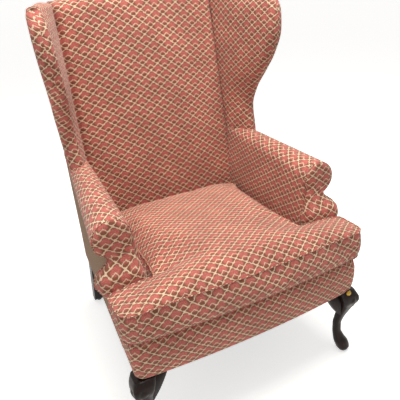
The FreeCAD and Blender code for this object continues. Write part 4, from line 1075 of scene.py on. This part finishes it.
def seat_cushion():
    """The loose cushion: sewn panels, puffed by its filling in a cloth simulation."""
    spacing, boxing_rows = 0.0075, 12
    # the plan of the top seam, of the boxing's widest part and of the bottom seam
    plan = cushion_plan(0.006, spacing)
    wide, low_plan = (ring_like(plan, inset, spacing) for inset in (0.001, 0.015))
    panel, triangles = cushion_panel(plan, spacing)
    count, total = len(plan), len(panel)
    base, seam = 0.004, 0.084
    verts = [(x, y, seam + crown_rise(x, y)) for x, y in panel]
    middle = np.array([0.0, 0.27])
    under = np.array(panel)
    under = middle + (under - middle) * (1 - 0.009 / np.abs(plan - middle).max(axis=0))
    under[:count] = low_plan
    verts += [(x, y, base) for x, y in under]
    strip = []
    for row in range(1, boxing_rows):
        share = row / boxing_rows
        swell = math.sin(math.pi * share) ** 0.7
        ring = low_plan + (plan - low_plan) * share + (wide - plan) * swell
        ring += (plan - low_plan) * 0.9 * (1 - (1 - share) ** 6 - share)
        strip.append(len(verts))
        verts += [(x, y, base + (seam - base) * share) for x, y in ring]
    faces, chart = [], []
    reach = run_lengths(np.vstack([plan, plan[:1]]))
    for tri in triangles:
        faces.append(tuple(tri))
        chart += [panel[index] for index in tri]
        faces.append(tuple(total + index for index in reversed(tri)))
        chart += [(panel[index][0], panel[index][1] + 0.019) for index in reversed(tri)]
    rings = [total] + strip + [0]
    for row in range(boxing_rows):
        low, high = rings[row], rings[row + 1]
        up = (seam - base) * np.array([row, row + 1]) / boxing_rows
        for index in range(count):
            after = (index + 1) % count
            faces.append((low + index, low + after, high + after, high + index))
            chart += [(reach[index], up[0]), (reach[index + 1], up[0]),
                      (reach[index + 1], up[1]), (reach[index], up[1])]
    mesh = bpy.data.meshes.new("seat_cushion")
    mesh.from_pydata(verts, [], faces)
    layer = mesh.uv_layers.new(name="cloth")
    chart = turned_chart(np.array(chart, float), SEAT_REPEAT)
    layer.data.foreach_set("uv", chart.ravel())
    piece = new_object("seat_cushion_cloth", mesh)
    puff(piece, held_below=0.006)
    shade(mesh)
    spots = np.array([vertex.co[:] for vertex in mesh.vertices])
    seam_top, seam_low = spots[:count], spots[total:total + count]
    mesh.transform(SEAT_LIFT)
    seams, paths = [], []
    for name, loop, rise in (("top", seam_top, 0.0005), ("bottom", seam_low, 0.0)):
        loop = loop + [0, 0, rise]
        middle = loop.mean(axis=0)
        seams.append(tube("cushion_seam_" + name, loop + (loop - middle) * 0.002,
                          settings().seam_radius, closed=True))
        seams[-1].data.transform(SEAT_LIFT)
        stitched = loop + (loop - middle) * 0.007 + [0, 0, 0.0008 if rise else -0.0008]
        paths.append(([SEAT_LIFT @ Vector(point) for point in stitched], True))
    stitches = row_along("cushion_stitches", paths, *STITCHES, "seam_thread")
    return piece, seams, stitches


def zip_teeth():
    """Moulded teeth along the zip in the cushion's rear boxing."""
    low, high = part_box("cushion_zip")
    level = (low[2] + high[2]) / 2
    path = [(x, high[1] + 0.0004, level) for x in np.linspace(low[0] + 0.006, high[0] - 0.006, 40)]
    return row_along("zip_teeth", [(path, False)], *ZIP_TEETH, "zip_nylon", "square")


def cover_staples():
    """Staples that hold the dust cover up under the seat frame."""
    low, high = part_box("dust_cover")
    inset, level = 0.008, low[2] - 0.0002
    run = [(low[0] + inset, low[1] + inset), (high[0] - inset, low[1] + inset),
           (high[0] - inset, high[1] - inset), (low[0] + inset, high[1] - inset)]
    corners = []
    for start, stop in zip(run, run[1:] + run[:1]):
        for share in np.linspace(0, 1, 12)[:-1]:
            corners.append((start[0] + (stop[0] - start[0]) * share,
                            start[1] + (stop[1] - start[1]) * share, level))
    return row_along("dust_cover_staples", [(corners, True)], *STAPLES, "spring_steel")


def puff(piece, held_below):
    """Cloth simulation with inside pressure; a point may move no farther than the swell."""
    frames = 20
    scene = bpy.context.scene
    rest = np.array([vertex.co[:] for vertex in piece.data.vertices])
    group = piece.vertex_groups.new(name="held")
    for index, point in enumerate(rest):
        if point[2] < held_below:
            group.add([index], 1.0, "REPLACE")
    modifier = piece.modifiers.new("filling", "CLOTH")
    cloth = modifier.settings
    cloth.quality = 5
    cloth.mass = 0.3
    cloth.tension_stiffness = 25
    cloth.compression_stiffness = 25
    cloth.shear_stiffness = 8
    cloth.bending_stiffness = 1.2
    cloth.use_pressure = True
    cloth.uniform_pressure_force = 4.0
    cloth.effector_weights.gravity = 0.0
    cloth.vertex_group_mass = "held"
    modifier.point_cache.frame_start = 1
    modifier.point_cache.frame_end = frames
    for step in range(1, frames + 1):
        scene.frame_set(step)
    graph = bpy.context.evaluated_depsgraph_get()
    made = bpy.data.meshes.new_from_object(piece.evaluated_get(graph))
    moved = np.array([vertex.co[:] for vertex in made.vertices])
    shift = moved - rest
    size = np.linalg.norm(shift, axis=1)
    cap = settings().swell
    shift *= (np.minimum(size, cap) / np.maximum(size, 1e-9))[:, None]
    piece.modifiers.clear()
    piece.data.vertices.foreach_set("co", (rest + shift).ravel())
    piece.vertex_groups.clear()
    bpy.data.meshes.remove(made)
    scene.frame_set(1)


# Legs.


# The fan carved on the knee: height of its root, half its spread in radians, where its ridges
# start and end above the root, and how deep they are.
FAN_ROOT, FAN_SPREAD, FAN_NEAR, FAN_FAR, FAN_DEPTH = 0.172, 0.95, 0.006, 0.052, 0.0034
LEG_TABLE = [
    # height, throw along the diagonal, half width, corner radius
    (0.006, 0.022, 0.015, 0.014), (0.018, 0.020, 0.021, 0.020), (0.034, 0.015, 0.022, 0.021),
    (0.056, 0.006, 0.017, 0.016), (0.080, 0.000, 0.013, 0.012), (0.104, 0.000, 0.0125, 0.011),
    (0.130, 0.006, 0.0135, 0.011), (0.156, 0.016, 0.016, 0.011), (0.182, 0.025, 0.021, 0.012),
    (0.204, 0.029, 0.028, 0.014), (0.222, 0.024, 0.030, 0.014), (0.238, 0.016, 0.028, 0.012),
]


def front_leg_piece(side, end):
    """A cabriole leg with a carved fan on the knee and a club foot."""
    count = 96
    heights = np.linspace(0.0062, 0.2384, 170)
    rows = []
    turns = np.linspace(0, 2 * math.pi, count, endpoint=False)
    for height in heights:
        throw, half, radius = smooth_curve(LEG_TABLE, np.array([height]))[0]
        shift = throw * math.sqrt(0.5)
        power = 2 + 4.5 * (1 - radius / half)
        ring = (np.abs(np.cos(turns)) ** power + np.abs(np.sin(turns)) ** power) ** (-1 / power)
        reach = half * ring
        # the carved fan: ridges that spread upwards over the front corner of the knee
        off = (turns + math.pi / 4 + math.pi) % (2 * math.pi) - math.pi
        lateral = off * half * 1.2
        up = height - FAN_ROOT
        if up > 0:
            spread = np.arctan2(lateral, up)
            span = np.hypot(lateral, up)
            inside = np.clip((FAN_SPREAD - np.abs(spread)) / 0.15, 0, 1)
            inside = inside * np.clip((span - FAN_NEAR) / 0.008, 0, 1)
            inside = inside * np.clip((FAN_FAR - span) / 0.006, 0, 1)
            reach = reach + inside * (FAN_DEPTH * np.abs(np.cos(spread * 5.0)) - 0.0012)
        x = STUMP_X + shift + reach * np.cos(turns)
        y = STUMP_Y - shift + reach * np.sin(turns)
        rows.append(np.stack([x, y, np.full(count, height)], axis=-1))
    # both ends close in a point at their middle
    caps = [np.repeat(row.mean(axis=0)[None], count, axis=0) for row in (rows[0], rows[-1])]
    table = np.array([caps[0]] + rows + [caps[1]])
    if side < 0:
        table = mirror_table(table)
    chart = np.zeros((table.shape[0], count + 1, 2))
    name = "front_leg_%s_carved" % end
    piece = grid_piece(name, table, chart, flip=side < 0, wrap=True)
    return merge([piece], name)


def knee_bracket(side, end, which):
    """The curved bracket that carries the knee up under a rail, rounded on its face."""
    rows, columns = 26, 15
    root_y, top = -0.348, 0.2384
    reach, drop = 0.059, 0.098
    outline = arc_points((-reach, 0.0), (-reach * 0.55, -drop * 0.56), (0.0, -drop), rows)
    table = []
    for along, down in outline:
        line = []
        for part in np.linspace(-1, 1, columns):
            round_off = 0.004 * part ** 4
            width = 0.012 * part
            line.append((along * (1 - 0.04 * part ** 2), width + 0.012, down + round_off))
        table.append(line)
    table = np.array(table)
    roof = table[:, ::-1] * [1, 1, 0]
    ring = np.concatenate([table, roof], axis=1)
    first = np.repeat(ring[:1].mean(axis=1)[:, None], ring.shape[1], axis=1)
    last = np.repeat(ring[-1:].mean(axis=1)[:, None], ring.shape[1], axis=1)
    ring = np.concatenate([first, ring, last])
    if which == "front":
        world = np.stack([STUMP_X + ring[..., 0], root_y + ring[..., 1], top + ring[..., 2]], -1)
    else:
        world = np.stack([0.338 - ring[..., 1], STUMP_Y - ring[..., 0], top + ring[..., 2]], -1)
    if side < 0:
        world = mirror_table(world)
    chart = np.zeros((world.shape[0], world.shape[1] + 1, 2))
    name = "knee_bracket_%s_%s" % (which, end)
    piece = grid_piece(name, world, chart, wrap=True)
    piece = merge([piece], name)
    work = bmesh.new()
    work.from_mesh(piece.data)
    bmesh.ops.recalc_face_normals(work, faces=work.faces)
    work.to_mesh(piece.data)
    work.free()
    return piece


def seat_deck():
    """The lining over the springs, seen when the cushion is drawn out."""
    rows, columns = 60, 50
    table = []
    for back in np.linspace(0.060, 0.553, rows):
        line = []
        for part in np.linspace(-1, 1, columns):
            sag = 0.0025 * math.sin(math.pi * (back - 0.060) / 0.493) * (1 - part ** 4)
            # the springs below show as low waves, 100 mm apart
            wave = 0.0006 * math.cos(part * 0.2497 * 2 * math.pi / 0.1)
            line.append([part * 0.2495, back, -0.0014 - sag + wave])
        table.append(line)
    table = np.array(table)
    piece = grid_piece("seat_deck_cloth", table, table[..., :2])
    piece.data.transform(DECK_LIFT)
    return thicken(piece, LINING)


# Operators.


class CHAIR_OT_arms(bpy.types.Operator):
    """Cover both arms, their fronts and their outer sides."""

    bl_idname = "chair.arms"
    bl_label = "Arms"

    def execute(self, context):
        for side, end in SIDES:
            settle(arm_cover(side, end), "trellis_fabric",
                   replaces=("arm_cover_" + end, "arm_pad_" + end))
            panel, seam = arm_front_panel(side, end)
            settle(panel, "trellis_fabric", replaces=("arm_front_panel_" + end,))
            settle(seam, "trellis_fabric")
            settle(outside_arm(side, end), "outside_fabric",
                   replaces=("outside_arm_panel_" + end,))
        return {"FINISHED"}


class CHAIR_OT_wings(bpy.types.Operator):
    """Cover both wings, inside, round the front roll and outside."""

    bl_idname = "chair.wings"
    bl_label = "Wings"

    def execute(self, context):
        for side, end in SIDES:
            cover, plain, seam = wing_pieces(side, end)
            settle(cover, "trellis_fabric", replaces=("wing_cover_" + end, "wing_pad_" + end))
            settle(plain, "outside_fabric", replaces=("outside_wing_panel_" + end,))
            settle(seam, "trellis_fabric")
        return {"FINISHED"}


class CHAIR_OT_back(bpy.types.Operator):
    """Cover the inside and the outside of the back."""

    bl_idname = "chair.back"
    bl_label = "Back"

    def execute(self, context):
        settle(inside_back(), "trellis_fabric",
               replaces=("inside_back_cover", "inside_back_pad"))
        settle(outside_back(), "outside_fabric", replaces=("outside_back_panel",))
        return {"FINISHED"}


class CHAIR_OT_seat(bpy.types.Operator):
    """Make the front border and the sprung deck."""

    bl_idname = "chair.seat"
    bl_label = "Seat border and deck"

    def execute(self, context):
        settle(front_border(), "trellis_fabric",
               replaces=("front_border_cover", "front_border_pad"))
        settle(seat_deck(), "deck_lining", replaces=("deck_cover", "deck_pad"))
        return {"FINISHED"}


class CHAIR_OT_cushion(bpy.types.Operator):
    """Make the loose T-shaped cushion with its seams."""

    bl_idname = "chair.cushion"
    bl_label = "Seat cushion"

    def execute(self, context):
        piece, seams, stitches = seat_cushion()
        settle(piece, "trellis_fabric", body="cushion",
               replaces=("cushion_cover", "cushion_core"))
        for seam in seams:
            settle(seam, "trellis_fabric", body="cushion")
        settle(stitches, "seam_thread", body="cushion")
        settle(zip_teeth(), "zip_nylon", body="cushion")
        return {"FINISHED"}


class CHAIR_OT_legs(bpy.types.Operator):
    """Carve the cabriole legs and their brackets."""

    bl_idname = "chair.legs"
    bl_label = "Front legs"

    def execute(self, context):
        for side, end in SIDES:
            settle(front_leg_piece(side, end), "dark_wood", replaces=("front_leg_" + end,))
            for which in ("front", "side"):
                settle(knee_bracket(side, end, which), "dark_wood",
                       replaces=("knee_blocks_" + end,))
        return {"FINISHED"}


class CHAIR_OT_underside(bpy.types.Operator):
    """Staple the dust cover."""

    bl_idname = "chair.underside"
    bl_label = "Underside"

    def execute(self, context):
        settle(cover_staples(), "spring_steel")
        return {"FINISHED"}


class CHAIR_OT_finishes(bpy.types.Operator):
    """Give every construction part that stays its real finish."""

    bl_idname = "chair.finishes"
    bl_label = "Finishes"

    def execute(self, context):
        slots = {entry["node"]: entry["material_slot"]
                 for entry in frame["record"]["subparts"]}
        for name, part in NODES.items():
            part.data.materials.clear()
            part.data.materials.append(finish_named(slots.get(name, "frame_wood")))
        return {"FINISHED"}


class CHAIR_OT_stage(bpy.types.Operator):
    """Set the floor, the lights and the camera."""

    bl_idname = "chair.stage"
    bl_label = "Stage"

    def execute(self, context):
        scene = bpy.context.scene
        scene.view_settings.view_transform = "Standard"
        make_floor()
        make_world()
        make_lamps()
        make_camera()
        return {"FINISHED"}


# How bright the floor glows to the camera, and the world as light and as backdrop.
FLOOR_GLOW = 0.62
WORLD_LIGHT, WORLD_SEEN = 0.34, 1.0


def seen_rays(tree):
    """1 where a surface is seen straight, in a mirror or through glass, and 0 where it lights."""
    rays = add(tree, kind="ShaderNodeLightPath", out=None).outputs
    seen = add(tree, rays["Is Camera Ray"], rays["Is Glossy Ray"], **LARGER)
    return add(tree, seen, rays["Is Transmission Ray"], **LARGER)


def make_floor():
    """A plain pale floor that is white to the camera and keeps the object's shadow."""
    mesh = bpy.data.meshes.new("floor")
    reach = 90.0
    mesh.from_pydata([(-reach, -reach, 0), (reach, -reach, 0), (reach, reach, 0),
                      (-reach, reach, 0)], [], [(0, 1, 2, 3)])
    floor = new_object("floor", mesh)
    material, tree, shader = new_material("matte_white_floor", 0.9)
    shader.inputs["Base Color"].default_value = linear("#F4F3F1")
    # the camera sees it a little brighter than it is lit, so its edge meets the white backdrop
    shader.inputs["Emission Color"].default_value = (1.0, 1.0, 1.0, 1.0)
    glow = add(tree, seen_rays(tree), FLOOR_GLOW, **PRODUCT)
    tree.links.new(glow, shader.inputs["Emission Strength"])
    floor.data.materials.append(material)


def make_world():
    """Soft even light all round, and a white backdrop to the camera."""
    world = bpy.data.worlds.new("studio")
    bpy.context.scene.world = world
    world.use_nodes = True
    tree = world.node_tree
    tree.nodes.clear()
    strength = add(tree, seen_rays(tree), 0.0, 1.0, WORLD_LIGHT, WORLD_SEEN,
                   kind="ShaderNodeMapRange")
    glow = add(tree, {"Color": (1.0, 0.99, 0.97, 1.0), "Strength": strength},
               kind="ShaderNodeBackground")
    add(tree, {"Surface": glow}, kind="ShaderNodeOutputWorld", out=None)


LAMPS = [
    # name, place, aim, size, watts, colour
    ("overhead", (0.1, -0.25, 3.0), (0.0, 0.0, 0.5), 1.4, 72.0, (1.0, 0.97, 0.92)),
    ("left", (-2.8, -1.2, 2.0), (0.0, 0.0, 0.5), 1.6, 9.0, (1.0, 0.96, 0.92)),
]


def make_lamps():
    """Square lamps that light the chair from above and from its left."""
    for name, spot, aim, size, watts, colour in LAMPS:
        lamp = bpy.data.lights.new(name, "AREA")
        lamp.size = size
        lamp.energy = watts
        lamp.color = colour
        light = new_object(name, lamp)
        light.location = spot
        direction = Vector(aim) - Vector(spot)
        light.rotation_euler = direction.to_track_quat("-Z", "Y").to_euler()


def make_camera():
    """The photograph's view: close, looking down on the chair from its left front."""
    focus, middle_x, middle_y, frame_size = 483.58, 230.4, 184.7, 400
    pitch, yaw, roll = (math.radians(angle) for angle in (-23.278, 27.849, -3.531))
    camera = bpy.data.cameras.new("camera")
    camera.sensor_width = 36
    camera.lens = focus / frame_size * camera.sensor_width
    camera.shift_x = (frame_size / 2 - middle_x) / frame_size
    camera.shift_y = (middle_y - frame_size / 2) / frame_size
    camera.clip_start = 0.05
    ahead = Vector((math.sin(yaw) * math.cos(pitch), math.cos(yaw) * math.cos(pitch),
                    math.sin(pitch)))
    right = ahead.cross(Vector((0, 0, 1))).normalized()
    up = right.cross(ahead)
    turned_right = right * math.cos(roll) + up * math.sin(roll)
    turned_up = turned_right.cross(ahead)
    holder = new_object("camera", camera)
    holder.matrix_world = Matrix((turned_right, turned_up, -ahead)).transposed().to_4x4()
    holder.location = (-0.5448, -1.2841, 1.1464)
    bpy.context.scene.camera = holder


class CHAIR_PT_panel(bpy.types.Panel):
    """Lists the chair's builders."""

    bl_label = "Wingback armchair"
    bl_idname = "CHAIR_PT_panel"
    bl_space_type = "VIEW_3D"
    bl_region_type = "UI"
    bl_category = "Chair"

    def draw(self, context):
        look = context.scene.chair_settings
        for name in ChairSettings.__annotations__:
            self.layout.prop(look, name)
        for operator in BUILDERS:
            self.layout.operator(operator.bl_idname)


BUILDERS = (CHAIR_OT_finishes, CHAIR_OT_arms, CHAIR_OT_wings, CHAIR_OT_back, CHAIR_OT_seat,
            CHAIR_OT_cushion, CHAIR_OT_legs, CHAIR_OT_underside, CHAIR_OT_stage)
CLASSES = (ChairSettings, *BUILDERS, CHAIR_PT_panel)


def register():
    """Register the settings, the operators and the panel."""
    for item in CLASSES:
        bpy.utils.register_class(item)
    bpy.types.Scene.chair_settings = bpy.props.PointerProperty(type=ChairSettings)


def unregister():
    """Take them out again."""
    del bpy.types.Scene.chair_settings
    for item in reversed(CLASSES):
        bpy.utils.unregister_class(item)


def main():
    """Build the chair and its stage."""
    register()
    for operator in BUILDERS:
        group, name = operator.bl_idname.split(".")
        getattr(getattr(bpy.ops, group), name)()


if __name__ == "__main__":
    main()
